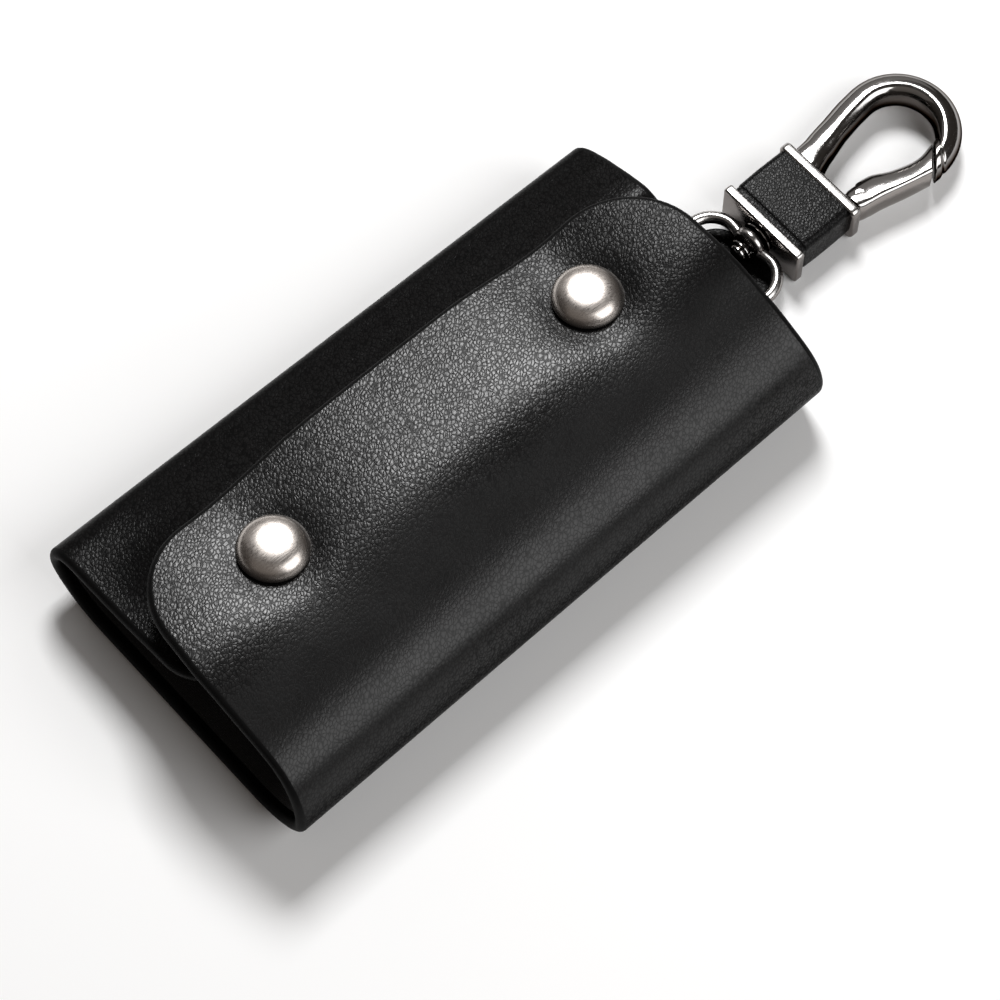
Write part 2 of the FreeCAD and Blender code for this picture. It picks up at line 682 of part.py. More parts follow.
tab_c = (gpx, gpy)
tab_r = 2.1
geo = [arc(tab_c, tab_r, -90.0, 90.0), seg((gpx, gpy + tab_r), (cap_top, gpy + tab_r)),
       seg((cap_top, gpy + tab_r), (cap_top, gpy - tab_r)), seg((cap_top, gpy - tab_r), (gpx, gpy - tab_r))]
tab = pad_body("tab_blank", "XY_Plane", geo, "1.5", False, -1.45)
tab = cut("tab_cut", fuse("tab_fuse", [tab, peg_gate]),
          [cylinder("tab_hole", "params.pin_rad", "6", "params.gate_px", "params.gate_py", "-3")])
set_on_axis(tab, "gate_post")

pin = cylinder("pin", "params.pin_rad", "params.gate_high - 0.3", "params.gate_px",
               "params.gate_py + params.axis_y", "params.axis_z - params.gate_high / 2 + 0.15")
node(pin, "gate_pin")

# torsion coil on the pin, above the tab
coil_r, wire_r, pitch = 1.2, 0.17, 0.43
helix = Part.makeHelix(pitch, pitch * 2.0, coil_r)
ahead = V(0, 2 * math.pi * coil_r, pitch)
ahead.normalize()
side = V(1, 0, 0)
rise = ahead.cross(side)
mid = V(coil_r, 0, 0)
corners = [mid + side * u * wire_r + rise * w * wire_r for u, w in ((1, 1), (-1, 1), (-1, -1), (1, -1), (1, 1))]
coil = doc.addObject("Part::Feature", "coil")
coil.Shape = Part.Wire(helix).makePipeShell([Part.makePolygon(corners)], True, True)
place(coil, "params.gate_px", "params.gate_py + params.axis_y", "params.axis_z + 0.38")
node(coil, "gate_spring")

# ---------------------------------------------------------------- key hooks on the rod
kw_, kr = P["key_wire"], 1.75
z_w = -1.0
tip_x, tail_x, free_x = -19.0, -0.2, -2.9
for i in range(6):
    path = Part.Wire([
        Part.LineSegment(V(tail_x, -kr, z_w), V(tip_x, -kr, z_w)).toShape(),
        Part.Arc(V(tip_x, -kr, z_w), V(tip_x - kr, 0, z_w), V(tip_x, kr, z_w)).toShape(),
        Part.LineSegment(V(tip_x, kr, z_w), V(free_x, kr, z_w)).toShape(),
    ])
    sec = Part.Wire(Part.makeCircle(kw_, V(tail_x, -kr, z_w), V(1, 0, 0)))
    w = doc.addObject("Part::Feature", "key_wire_%d" % (i + 1))
    w.Shape = Part.Solid(path.makePipeShell([sec], True, False))
    k = cylinder("knuckle_%d" % (i + 1), "params.knuckle_rad", "params.knuckle_len", "0",
                 "-params.knuckle_len / 2", "0", ALONG_Y)
    b = cylinder("knuckle_bore_%d" % (i + 1), "params.knuckle_bore", "params.knuckle_len + 4", "0",
                 "-params.knuckle_len / 2 - 2", "0", ALONG_Y)
    hook_i = cut("key_cut_%d" % (i + 1), fuse("key_fuse_%d" % (i + 1), [w, k]), [b])
    place(hook_i, "params.rod_x", "params.key_pitch * %g" % (i - 2.5), "params.rod_z")
    node(hook_i, "key_hook_%d" % (i + 1))

doc.recompute()

# ---------------------------------------------------------------- checks and files
bad = []
for obj in doc.Objects:
    if "Invalid" in obj.State or "Error" in obj.State:
        bad.append("%s state %s" % (obj.Name, obj.State))
for obj in NODES:
    shape = obj.Shape
    if shape.isNull() or not shape.isValid() or not shape.Solids:
        bad.append("%s shape" % obj.Label)
if bad:
    raise RuntimeError("; ".join(bad))
os.makedirs("parts", exist_ok=True)
for obj in NODES:
    obj.Shape.exportStep("parts/%s.step" % obj.Label)
    bb = obj.Shape.BoundBox
    print("%-20s solids %d vol %9.3f  x %7.2f %7.2f  y %7.2f %7.2f  z %6.2f %6.2f" % (
        obj.Label, len(obj.Shape.Solids), obj.Shape.Volume, bb.XMin, bb.XMax, bb.YMin, bb.YMax,
        bb.ZMin, bb.ZMax))
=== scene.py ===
import math

import bmesh
import bpy
import numpy as np
from mathutils import Matrix, Vector


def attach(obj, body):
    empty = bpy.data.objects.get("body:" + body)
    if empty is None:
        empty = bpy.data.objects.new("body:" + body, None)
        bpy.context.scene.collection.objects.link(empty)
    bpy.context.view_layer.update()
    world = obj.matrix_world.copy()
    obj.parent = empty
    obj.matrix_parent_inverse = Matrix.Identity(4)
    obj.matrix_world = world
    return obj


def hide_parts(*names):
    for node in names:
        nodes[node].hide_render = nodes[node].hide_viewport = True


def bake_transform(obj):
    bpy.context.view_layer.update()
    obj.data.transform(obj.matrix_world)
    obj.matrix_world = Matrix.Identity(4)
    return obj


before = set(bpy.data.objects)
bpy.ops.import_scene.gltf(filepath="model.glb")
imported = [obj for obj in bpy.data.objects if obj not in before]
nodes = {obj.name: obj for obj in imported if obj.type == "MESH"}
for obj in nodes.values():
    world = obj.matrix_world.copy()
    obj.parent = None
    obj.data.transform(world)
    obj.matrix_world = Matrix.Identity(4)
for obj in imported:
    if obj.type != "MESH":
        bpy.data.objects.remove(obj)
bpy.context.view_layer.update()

MM = 0.001
scene = bpy.context.scene

# ------------------------------------------------------------------ camera
AZ, EL, ROLL = math.radians(-42.386), math.radians(65.433), math.radians(0.554)
back = np.array([math.sin(AZ) * math.cos(EL), -math.cos(AZ) * math.cos(EL), math.sin(EL)])
right = np.array([math.cos(AZ), math.sin(AZ), 0.0])
up = np.cross(back, right)
r2 = math.cos(ROLL) * right + math.sin(ROLL) * up
u2 = -math.sin(ROLL) * right + math.cos(ROLL) * up
eye = (np.array([2.930, -9.068, 10.0]) + back * 580.24) * MM
cam = bpy.data.cameras.new("camera")
cam.lens, cam.sensor_width, cam.sensor_fit = 144.0, 36.0, "HORIZONTAL"
cam.clip_start, cam.clip_end = 0.02, 50.0
cam_ob = bpy.data.objects.new("camera", cam)
scene.collection.objects.link(cam_ob)
cam_ob.matrix_world = Matrix(
    [[r2[i], u2[i], back[i], eye[i]] for i in range(3)] + [[0, 0, 0, 1]]
)
scene.camera = cam_ob
scene.view_settings.view_transform = "Standard"


# ------------------------------------------------------------------ node helpers
def material(name):
    m = bpy.data.materials.new(name)
    m.use_nodes = True
    t = m.node_tree
    return m, t, t.nodes["Principled BSDF"]


def add(t, kind, **props):
    n = t.nodes.new(kind)
    for k, v in props.items():
        if k in n.inputs:
            n.inputs[k].default_value = v
        else:
            setattr(n, k, v)
    return n


def math_node(t, op, a, b=None, clamp=False):
    n = t.nodes.new("ShaderNodeMath")
    n.operation, n.use_clamp = op, clamp
    for i, v in enumerate((a, b)):
        if v is None:
            continue
        if isinstance(v, (int, float)):
            n.inputs[i].default_value = v
        else:
            t.links.new(v, n.inputs[i])
    return n.outputs[0]


def span(t, value, a, b, lo, hi, smooth=True):
    n = t.nodes.new("ShaderNodeMapRange")
    n.interpolation_type = "SMOOTHSTEP" if smooth else "LINEAR"
    t.links.new(value, n.inputs["Value"])
    for k, v in zip(("From Min", "From Max", "To Min", "To Max"), (a, b, lo, hi)):
        n.inputs[k].default_value = v
    return n.outputs["Result"]


def mix_colour(t, fac, a, b):
    n = t.nodes.new("ShaderNodeMix")
    n.data_type = "RGBA"
    t.links.new(fac, n.inputs[0])
    for sock, v in ((n.inputs[6], a), (n.inputs[7], b)):
        if isinstance(v, tuple):
            sock.default_value = (*v, 1.0)
        else:
            t.links.new(v, sock)
    return n.outputs[2]


def coords(t, name="flat"):
    """the stored surface coordinates in millimetres"""
    return add(t, "ShaderNodeAttribute", attribute_name=name).outputs["Vector"]


def object_mm(t):
    tc = add(t, "ShaderNodeTexCoord")
    sc = add(t, "ShaderNodeVectorMath", operation="SCALE")
    sc.inputs["Scale"].default_value = 1000.0
    t.links.new(tc.outputs["Object"], sc.inputs[0])
    return sc.outputs[0]


def stretched(t, vec, scale):
    m = add(t, "ShaderNodeMapping")
    m.inputs["Scale"].default_value = scale
    t.links.new(vec, m.inputs["Vector"])
    return m.outputs[0]


def noise(t, vec, scale, detail=2.0, rough=0.5, distort=0.0):
    n = add(t, "ShaderNodeTexNoise")
    n.inputs["Scale"].default_value = scale
    n.inputs["Detail"].default_value = detail
    n.inputs["Roughness"].default_value = rough
    n.inputs["Distortion"].default_value = distort
    t.links.new(vec, n.inputs["Vector"])
    return n


def cells(t, vec, scale, feature="DISTANCE_TO_EDGE", rnd=1.0):
    n = add(t, "ShaderNodeTexVoronoi", feature=feature)
    n.inputs["Scale"].default_value = scale
    n.inputs["Randomness"].default_value = rnd
    t.links.new(vec, n.inputs["Vector"])
    return n.outputs["Distance"]


def bump(t, height, strength, distance_mm, normal=None):
    b = add(t, "ShaderNodeBump")
    b.inputs["Strength"].default_value = strength
    b.inputs["Distance"].default_value = distance_mm * MM
    t.links.new(height, b.inputs["Height"])
    if normal is not None:
        t.links.new(normal, b.inputs["Normal"])
    return b.outputs["Normal"]


# ------------------------------------------------------------------ materials
def warped(t, vec, scale, amount):
    n = noise(t, vec, scale, 2.0)
    c = add(t, "ShaderNodeVectorMath", operation="SUBTRACT")
    t.links.new(n.outputs["Color"], c.inputs[0])
    c.inputs[1].default_value = (0.5, 0.5, 0.5)
    s = add(t, "ShaderNodeVectorMath", operation="SCALE")
    s.inputs["Scale"].default_value = amount
    t.links.new(c.outputs[0], s.inputs[0])
    a = add(t, "ShaderNodeVectorMath", operation="ADD")
    t.links.new(vec, a.inputs[0])
    t.links.new(s.outputs[0], a.inputs[1])
    return a.outputs[0]


def leather(name, vec_of, grain=1.0, depth=0.031, rough=(0.23, 0.33)):
    """pebbled and waxed black leather; the stored "grain" says how far the pebbles were stretched flat"""
    m, t, b = material(name)
    vec = vec_of(t)
    turn = add(t, "ShaderNodeMapping")
    turn.inputs["Rotation"].default_value = (0.0, 0.0, math.radians(40.0))
    t.links.new(warped(t, vec, 0.5, 0.55), turn.inputs["Vector"])
    w = stretched(t, turn.outputs[0], (0.80, 1.18, 0.0))
    dome = span(t, cells(t, w, 1.66 * grain, "F1", 0.9), 0.0, 0.66, 1.0, 0.0)
    crease = span(t, cells(t, w, 1.66 * grain, rnd=0.9), 0.0, 0.20, 0.0, 1.0)
    small = span(t, cells(t, w, 3.7 * grain, "F1"), 0.05, 0.62, 1.0, 0.0)
    fine = noise(t, vec, 6.5 * grain, 3.0).outputs["Fac"]
    soft = noise(t, vec, 0.13, 2.0).outputs["Fac"]
    h = math_node(t, "ADD", math_node(t, "MULTIPLY", dome, 0.46), math_node(t, "MULTIPLY", crease, 0.30))
    h = math_node(t, "ADD", h, math_node(t, "MULTIPLY", small, 0.22))
    h = math_node(t, "ADD", h, math_node(t, "MULTIPLY", fine, 0.08))
    keep = add(t, "ShaderNodeAttribute", attribute_name="grain").outputs["Fac"]
    tone = math_node(t, "ADD", math_node(t, "MULTIPLY", h, 0.7), math_node(t, "MULTIPLY", soft, 0.45))
    t.links.new(mix_colour(t, tone, (0.0020, 0.0019, 0.0020), (0.0052, 0.0050, 0.0050)), b.inputs["Base Color"])
    worn = math_node(t, "ADD", math_node(t, "MULTIPLY", soft, 0.55), math_node(t, "MULTIPLY", h, 0.45))
    matt = math_node(t, "MULTIPLY", math_node(t, "SUBTRACT", 1.0, keep), 0.10)
    t.links.new(math_node(t, "ADD", span(t, worn, 0.25, 0.85, rough[1], rough[0]), matt), b.inputs["Roughness"])
    t.links.new(bump(t, math_node(t, "MULTIPLY", h, keep), 1.0, depth), b.inputs["Normal"])
    # little light reaches into the creases between the pebbles
    open_ = math_node(t, "SUBTRACT", 1.0, math_node(t, "MULTIPLY", math_node(t, "SUBTRACT", 1.0, crease), keep))
    b.inputs["Specular IOR Level"].default_value = 0.24
    # painted shade: a stored per-point value scales the shine down on the fold, the under flap and the top's far end
    painted_shade_gloss = add(t, "ShaderNodeAttribute", attribute_name="gloss_and_shade").outputs["Fac"]
    t.links.new(math_node(t, "MULTIPLY", span(t, open_, 0.0, 0.9, 0.10, 0.335), painted_shade_gloss), b.inputs["Specular IOR Level"])
    return m


def leather_edge(name, vec_of):
    """burnished and painted cut edge"""
    m, t, b = material(name)
    vec = vec_of(t)
    n = noise(t, stretched(t, vec, (0.6, 0.6, 2.5)), 1.6, 3.0).outputs["Fac"]
    f = noise(t, vec, 6.0, 2.0).outputs["Fac"]
    t.links.new(mix_colour(t, n, (0.0016, 0.0016, 0.0016), (0.0040, 0.0039, 0.0039)), b.inputs["Base Color"])
    t.links.new(span(t, f, 0.3, 0.7, 0.46, 0.6), b.inputs["Roughness"])
    t.links.new(bump(t, math_node(t, "ADD", math_node(t, "MULTIPLY", n, 0.7), math_node(t, "MULTIPLY", f, 0.3)), 0.5, 0.05), b.inputs["Normal"])
    b.inputs["Specular IOR Level"].default_value = 0.07
    return m


def weave(name, vec_of):
    """fine plain-woven lining"""
    m, t, b = material(name)
    vec = vec_of(t)
    w = warped(t, vec, 0.3, 0.12)
    sep = add(t, "ShaderNodeSeparateXYZ")
    t.links.new(w, sep.inputs[0])
    k = 2 * math.pi / 0.55
    sx = math_node(t, "SINE", math_node(t, "MULTIPLY", sep.outputs[0], k))
    sy = math_node(t, "SINE", math_node(t, "MULTIPLY", sep.outputs[1], k))
    over = math_node(t, "MULTIPLY", sx, sy)
    ax = math_node(t, "ABSOLUTE", sx)
    ay = math_node(t, "ABSOLUTE", sy)
    warp_h = math_node(t, "MULTIPLY", ax, span(t, over, -0.3, 0.3, 0.35, 1.0))
    weft_h = math_node(t, "MULTIPLY", ay, span(t, over, -0.3, 0.3, 1.0, 0.35))
    h = math_node(t, "MAXIMUM", warp_h, weft_h)
    f = noise(t, vec, 4.0, 3.0).outputs["Fac"]
    t.links.new(mix_colour(t, math_node(t, "MULTIPLY", h, f), (0.006, 0.006, 0.0065), (0.028, 0.027, 0.028)), b.inputs["Base Color"])
    t.links.new(span(t, f, 0.3, 0.7, 0.72, 0.9), b.inputs["Roughness"])
    t.links.new(bump(t, h, 0.8, 0.10), b.inputs["Normal"])
    b.inputs["Sheen Weight"].default_value = 0.25
    b.inputs["Sheen Roughness"].default_value = 0.5
    return m


def polished(name, lo, hi, side, rough, ripple=0.002, grain=(0.25, 0.25, 0.25)):
    """plated and polished metal with a faint ripple and handling marks; painted shade: the base colour is darker on the
    upright sides and brighter on faces pointing up or down, standing in for the dark surroundings those sides reflect"""
    m, t, b = material(name)
    vec = object_mm(t)
    n = noise(t, stretched(t, vec, grain), 1.0, 3.0).outputs["Fac"]
    f = noise(t, vec, 2.2, 4.0, 0.6).outputs["Fac"]
    sep = add(t, "ShaderNodeSeparateXYZ")
    t.links.new(add(t, "ShaderNodeTexCoord").outputs["Normal"], sep.inputs[0])
    # painted shade: faces pointing up or down take the metal colours, the upright sides take the dark side colour
    painted_light_facing = math_node(t, "ADD", math_node(t, "ABSOLUTE", sep.outputs[2]), math_node(t, "MULTIPLY", n, 0.12))
    tone = span(t, painted_light_facing, 0.30, 1.0, 0.0, 1.0)
    t.links.new(mix_colour(t, tone, side, mix_colour(t, n, lo, hi)), b.inputs["Base Color"])
    t.links.new(span(t, f, 0.35, 0.75, rough[0], rough[1]), b.inputs["Roughness"])
    b.inputs["Metallic"].default_value = 1.0
    t.links.new(bump(t, n, 0.3, ripple), b.inputs["Normal"])
    return m


def satin(name, lo, hi, rough, streak=(0.35, 9.0, 9.0), depth=0.004):
    """plated metal with fine polishing lines"""
    m, t, b = material(name)
    vec = object_mm(t)
    n = noise(t, stretched(t, vec, streak), 1.0, 4.0, 0.6).outputs["Fac"]
    f = noise(t, vec, 0.7, 3.0).outputs["Fac"]
    t.links.new(mix_colour(t, math_node(t, "ADD", math_node(t, "MULTIPLY", n, 0.6), math_node(t, "MULTIPLY", f, 0.4)), lo, hi), b.inputs["Base Color"])
    t.links.new(span(t, n, 0.3, 0.7, rough[0], rough[1]), b.inputs["Roughness"])
    b.inputs["Metallic"].default_value = 1.0
    t.links.new(bump(t, n, 0.5, depth), b.inputs["Normal"])
    return m


LEATHER = leather("case_leather", coords)
FINE = leather("block_grain", coords, 1.3)
EDGE = leather_edge("case_edge", coords)
LINING = weave("case_lining", coords)
# the fourth colour of CHROME, RING and GATE is painted shade for their upright sides
CHROME = polished("chrome", (0.42, 0.408, 0.40), (0.48, 0.467, 0.458), (0.075, 0.066, 0.061), (0.11, 0.17))
RING = polished("chrome_ring", (0.46, 0.447, 0.438), (0.54, 0.526, 0.516), (0.17, 0.152, 0.142), (0.20, 0.28))
GATE = polished("chrome_gate", (0.42, 0.408, 0.40), (0.48, 0.467, 0.458), (0.25, 0.228, 0.214), (0.13, 0.19))
CHROME.node_tree.nodes["Principled BSDF"].inputs["Specular Tint"].default_value = (0.16, 0.145, 0.135, 1.0)
NICKEL = satin("satin_nickel", (0.52, 0.475, 0.44), (0.68, 0.63, 0.59), (0.26, 0.37))
STEEL = satin("plain_steel", (0.50, 0.49, 0.48), (0.66, 0.65, 0.64), (0.25, 0.38))


# ------------------------------------------------------------------ mesh helpers
def piece(name, verts_mm, faces, mats, face_mat=None, flat=None, sharp=35.0, grain=None, gloss_and_shade=None):
    """a closed mesh object from points in millimetres"""
    me = bpy.data.meshes.new(name)
    me.from_pydata((np.asarray(verts_mm, float) * MM).tolist(), [], [list(map(int, f)) for f in faces])
    if flat is not None:
        a = me.attributes.new("flat", "FLOAT_VECTOR", "POINT")
        a.data.foreach_set("vector", np.asarray(flat, np.float32).ravel())
        for key, val in (("grain", grain), ("gloss_and_shade", gloss_and_shade)):
            a = me.attributes.new(key, "FLOAT", "POINT")
            a.data.foreach_set("value", np.full(len(me.vertices), 1.0 if val is None else val, np.float32))
    for m in mats:
        me.materials.append(m)
    if face_mat is not None:
        me.polygons.foreach_set("material_index", np.asarray(face_mat, np.int32))
    bm = bmesh.new()
    bm.from_mesh(me)
    bmesh.ops.recalc_face_normals(bm, faces=bm.faces)
    bm.to_mesh(me)
    bm.free()
    me.polygons.foreach_set("use_smooth", [True] * len(me.polygons))
    me.set_sharp_from_angle(angle=math.radians(sharp))
    me.update()
    ob = bpy.data.objects.new(name, me)
    scene.collection.objects.link(ob)
    return ob


class Path:
    """the outer face of the leather across the case, by arc length from the middle of the back"""

    def __init__(self, segs, sign, soften=1.1, step=0.1):
        pts = []
        for g in segs:
            if g[0] == "line":
                a, b = np.array(g[1], float), np.array(g[2], float)
                n = max(2, int(np.hypot(*(b - a)) / 0.02))
                pts.append(a + (b - a) * np.linspace(0, 1, n, endpoint=False)[:, None])
                last = b
            elif g[0] == "through":
                k = np.array([last, *g[1]], float)
                k = np.vstack([2 * k[0] - k[1], k, 2 * k[-1] - k[-2]])
                for i in range(1, len(k) - 2):
                    u = np.linspace(0, 1, 60, endpoint=False)[:, None]
                    a, b, c, d = k[i - 1 : i + 3]
                    pts.append(0.5 * (2 * b + (c - a) * u + (2 * a - 5 * b + 4 * c - d) * u**2 + (3 * b - a - 3 * c + d) * u**3))
                last = k[-2]
            else:
                c, r, a0, a1 = np.array(g[1], float), g[2], math.radians(g[3]), math.radians(g[4])
                n = max(2, int(abs(a1 - a0) * r / 0.02))
                ang = np.linspace(a0, a1, n, endpoint=False)
                pts.append(c + r * np.c_[np.cos(ang), np.sin(ang)])
                last = c + r * np.array([math.cos(a1), math.sin(a1)])
        p = np.vstack(pts + [last[None]])
        q = self.even(p, step)
        k = int(4 * soften / step)
        g = np.exp(-0.5 * (np.arange(-k, k + 1) * step / soften) ** 2)
        g /= g.sum()
        ext = np.vstack([2 * q[0] - q[k:0:-1], q, 2 * q[-1] - q[-2 : -k - 2 : -1]])
        q = np.c_[np.convolve(ext[:, 0], g, "valid"), np.convolve(ext[:, 1], g, "valid")]
        q = self.even(q, step)
        self.p = q
        self.s = np.r_[0, np.cumsum(np.hypot(*np.diff(q, axis=0).T))]
        t = np.gradient(q, self.s, axis=0)
        self.t = t / np.hypot(*t.T)[:, None]
        self.n = np.c_[-self.t[:, 1], self.t[:, 0]] * sign
        self.length = float(self.s[-1])
        self.sign = sign

    @staticmethod
    def even(p, step):
        s = np.r_[0, np.cumsum(np.hypot(*np.diff(p, axis=0).T))]
        u = np.linspace(0, s[-1], int(round(s[-1] / step)) + 1)
        return np.c_[np.interp(u, s, p[:, 0]), np.interp(u, s, p[:, 1])]

    def read(self, a, s):
        return np.stack([np.interp(s, self.s, a[:, i]) for i in (0, 1)], -1)


def shell(name, path, half, corner, d_out, d_in, edge, field, mats, inset=0.0, hem=None, row=0.8, col=0.85, end=0.0, warp=None, grain=None, gloss_and_shade=None):
    """a bent panel with rounded edges: flat where it meets its other half, round on the other three sides"""
    re = edge / 2
    s_in = path.length - end - inset - re
    rc = max(corner - inset - re, 0.6)
    s_flat = s_in - rc
    rows = np.r_[np.linspace(0, s_flat, int(s_flat / row) + 1), s_flat + rc * np.sin(np.radians(np.arange(5, 91, 5)))]
    b = np.array([0, 0.25, 0.5, 0.8, 1.1, 1.4, 1.75, 2.2, 2.8, 3.5, 4.2])
    mid = np.linspace(-1, 1, int(2 * 46 / col) + 1)[1:-1]
    h0 = half(rows) - inset - re
    q = np.clip((rows - s_flat) / rc, 0, 1)
    h = h0 - rc * (1 - np.sqrt(1 - q * q))
    R, C = len(rows), 2 * len(b) + len(mid)
    X = np.zeros((R, C))
    X[:, : len(b)] = -(h[:, None] - b[None])
    X[:, -len(b) :] = (h[:, None] - b[None])[:, ::-1]
    X[:, len(b) : -len(b)] = mid[None] * (h[:, None] - b[-1])
    S = np.repeat(rows[:, None], C, 1)
    # how far each point is from the panel's edge
    dist = np.minimum(h0[:, None] - np.abs(X), s_in - S)
    cx, cs = np.abs(X) - (h0[:, None] - rc), S - s_flat
    at_corner = (cx > 0) & (cs > 0)
    dist = np.where(at_corner, rc - np.hypot(cx, cs), dist)
    if hem is None:
        depth_in = np.full_like(X, d_in)
    else:
        u = np.clip((dist - hem[0]) / hem[1], 0, 1)
        depth_in = d_out + edge + (d_in - d_out - edge) * u * u * (3 - 2 * u)
    vx, vs, vd, ve, vf = [], [], [], [], []

    def put(x, s, d, ex=0.0, es=0.0):
        vx.append(x); vs.append(s); vd.append(d); ve.append(ex); vf.append(es)

    for i in range(R):
        for j in range(C):
            put(X[i, j], S[i, j], d_out)
    for i in range(R):
        for j in range(C):
            put(X[i, j], S[i, j], depth_in[i, j])
    out = lambda i, j: i * C + j
    inn = lambda i, j: R * C + i * C + j
    faces, fm = [], []
    for i in range(R - 1):
        for j in range(C - 1):
            faces.append((out(i, j), out(i, j + 1), out(i + 1, j + 1), out(i + 1, j))); fm.append(0)
            faces.append((inn(i, j), inn(i + 1, j), inn(i + 1, j + 1), inn(i, j + 1))); fm.append(0)
    rim = [(i, 0) for i in range(R)] + [(R - 1, j) for j in range(1, C)] + [(i, C - 1) for i in range(R - 2, -1, -1)]
    K = 8
    ring = []
    for i, j in rim:
        qq = q[i]
        sx = -1.0 if j == 0 else (1.0 if j == C - 1 else 0.0)
        ox, os_ = sx * math.sqrt(max(0.0, 1 - qq * qq)), qq
        n = math.hypot(ox, os_) or 1.0
        ids = [out(i, j)]
        for k in range(1, K):
            f = math.pi * k / K
            ids.append(len(vx))
            put(X[i, j], S[i, j], d_out + re * (1 - math.cos(f)), ox / n * re * math.sin(f), os_ / n * re * math.sin(f))
        ids.append(inn(i, j))
        ring.append(ids)
    for a, c in zip(ring[:-1], ring[1:]):
        for k in range(K):
            faces.append((a[k], a[k + 1], c[k + 1], c[k])); fm.append(1)
    for ids in (ring[0], ring[-1]):
        faces.append(tuple(ids)); fm.append(1)
    for j in range(C - 1):
        faces.append((out(0, j), inn(0, j), inn(0, j + 1), out(0, j + 1))); fm.append(1)
    vx, vs, vd, ve, vf = map(np.array, (vx, vs, vd, ve, vf))
    flat = np.c_[vx + ve, -path.sign * (vs + vf), vd]
    keep = None if grain is None else grain(vx, vs)
    painted_shade_gloss = None if gloss_and_shade is None else gloss_and_shade(vx, vs)
    if warp is not None:
        vx, vs = warp(vx, vs)
    p, t, n = path.read(path.p, vs), path.read(path.t, vs), path.read(path.n, vs)
    t /= np.hypot(*t.T)[:, None]
    n /= np.hypot(*n.T)[:, None]
    x = vx + ve
    yz = p + t * vf[:, None] + n * (field(vx, vs) - vd)[:, None]
    y = yz[:, 0] * (1 - 0.0255 * np.clip(x, -52, 52) / 51.5)
    co = np.c_[x, y, yz[:, 1]]
    return piece(name, co, faces, mats, fm, flat, grain=keep, gloss_and_shade=painted_shade_gloss)


def step_up(v, a, b):
    u = np.clip((v - a) / (b - a), 0, 1)
    return u * u * (3 - 2 * u)


def ease(v, pairs, spline=False):
    """smooth run through (at, value) pairs: level at each pair, or flowing through them"""
    xs, ys = (np.array(q, float) for q in zip(*pairs))
    i = np.clip(np.searchsorted(xs, v) - 1, 0, len(xs) - 2)
    w = xs[i + 1] - xs[i]
    u = np.clip((v - xs[i]) / w, 0, 1)
    if spline:
        m = np.gradient(ys, xs)
        m[0] = m[-1] = 0.0
        return (2 * u**3 - 3 * u**2 + 1) * ys[i] + (u**3 - 2 * u**2 + u) * w * m[i] + (3 * u**2 - 2 * u**3) * ys[i + 1] + (u**3 - u**2) * w * m[i + 1]
    u = u * u * (3 - 2 * u)
    return ys[i] * (1 - u) + ys[i + 1] * u


# ------------------------------------------------------------------ leather and lining of the case
RIGHT = Path(
    [
        ("line", (0, 0), (-17, 0)),
        ("arc", (-17, 11.125), 11.125, 270, 202.62),
        ("through", [(-27.5, 8.3), (-27.45, 10.2), (-27.0, 12.4), (-25.7, 15.2), (-22.8, 18.0), (-18.0, 20.2),
                     (-11.5, 21.75), (-6.0, 22.3), (-1.0, 21.95), (4.0, 21.4), (9.5, 20.75), (14.6, 20.05), (16.8, 19.75)]),
    ],
    1.0,
)
LEFT = Path(
    [
        ("line", (0, 0), (17, 0)),
        ("arc", (17, 11.125), 11.125, 270, 337.38),
        ("through", [(27.5, 8.3), (27.45, 10.2), (26.8, 11.9), (24.6, 13.2), (20.5, 13.6), (15.0, 13.8),
                     (10.0, 14.35), (4.0, 15.5), (-1.0, 16.25), (-6.0, 16.6)]),
    ],
    -1.0,
)


TAIL = math.hypot(2.2, 0.3)  # spare length past the flap's nominal edge
RIDGE = float(np.interp(-6.0, RIGHT.p[RIGHT.s > 40, 0], RIGHT.s[RIGHT.s > 40]))


SNAPS = (-29.8, 30.2)
SNAP_S = float(np.interp(2.2, RIGHT.p[RIGHT.s > 50, 0], RIGHT.s[RIGHT.s > 50]))


def right_warp(x, s):
    """the flap was cut a little longer and wider toward the hook end"""
    u, back_u = np.clip(x / 50.0, 0, 1), np.clip(-x / 50.0, 0, 1)
    down = np.clip((s - RIDGE) / (RIGHT.length - TAIL - RIDGE), 0, 1)
    return x + 0.2 * u * u * step_up(s, 34, 46) - 0.5 * u**3 * step_up(s, RIDGE - 6.0, RIDGE + 6.0) + 0.65 * back_u**3 * step_up(s, RIDGE, RIDGE + 10), s + (-0.2 + 1.2 * step_up(x, -42, -12) - 0.7 * step_up(x, 12, 34)) * down * down


def left_warp(x, s):
    u = np.clip(x / 50.0, 0, 1)
    return x + u * u * (0.5 * step_up(s, 34, 41) - 0.6 * step_up(s, 24, 30) * (1 - step_up(s, 34, 38))), s


def right_grain(x, s):
    """pebbles: full on the flap and the back, stretched nearly smooth over the shoulder"""
    wave = 1.2 * np.sin(x / 9.0) + 0.8 * np.sin(x / 4.1 + 1.0)
    return 1.0 - 0.45 * step_up(s + wave, 33, 40) * (1 - step_up(s + wave, RIDGE - 5.5, RIDGE + 1.5))


def right_painted_shade_gloss(x, s):
    """painted shade in the shine: full on top, turned down round the fold, underneath and over the top's far end,
    darkening them as if in shade
    """
    top = 1.0 - 0.50 * step_up(x, 20, 38) * step_up(s, RIDGE - 8.0, RIDGE + 2.0)
    return (0.06 + 0.94 * step_up(s, 33, 40)) * top


# painted shade in the shine: the under flap's shine is turned down, darkening it as if in shade
def left_painted_shade_gloss(x, s):
    return 0.26 + 0.20 * step_up(s, 35, 42)


def left_grain(x, s):
    return 1.0 - 0.4 * step_up(s, 27, 31) * (1 - step_up(s, 35, 39))


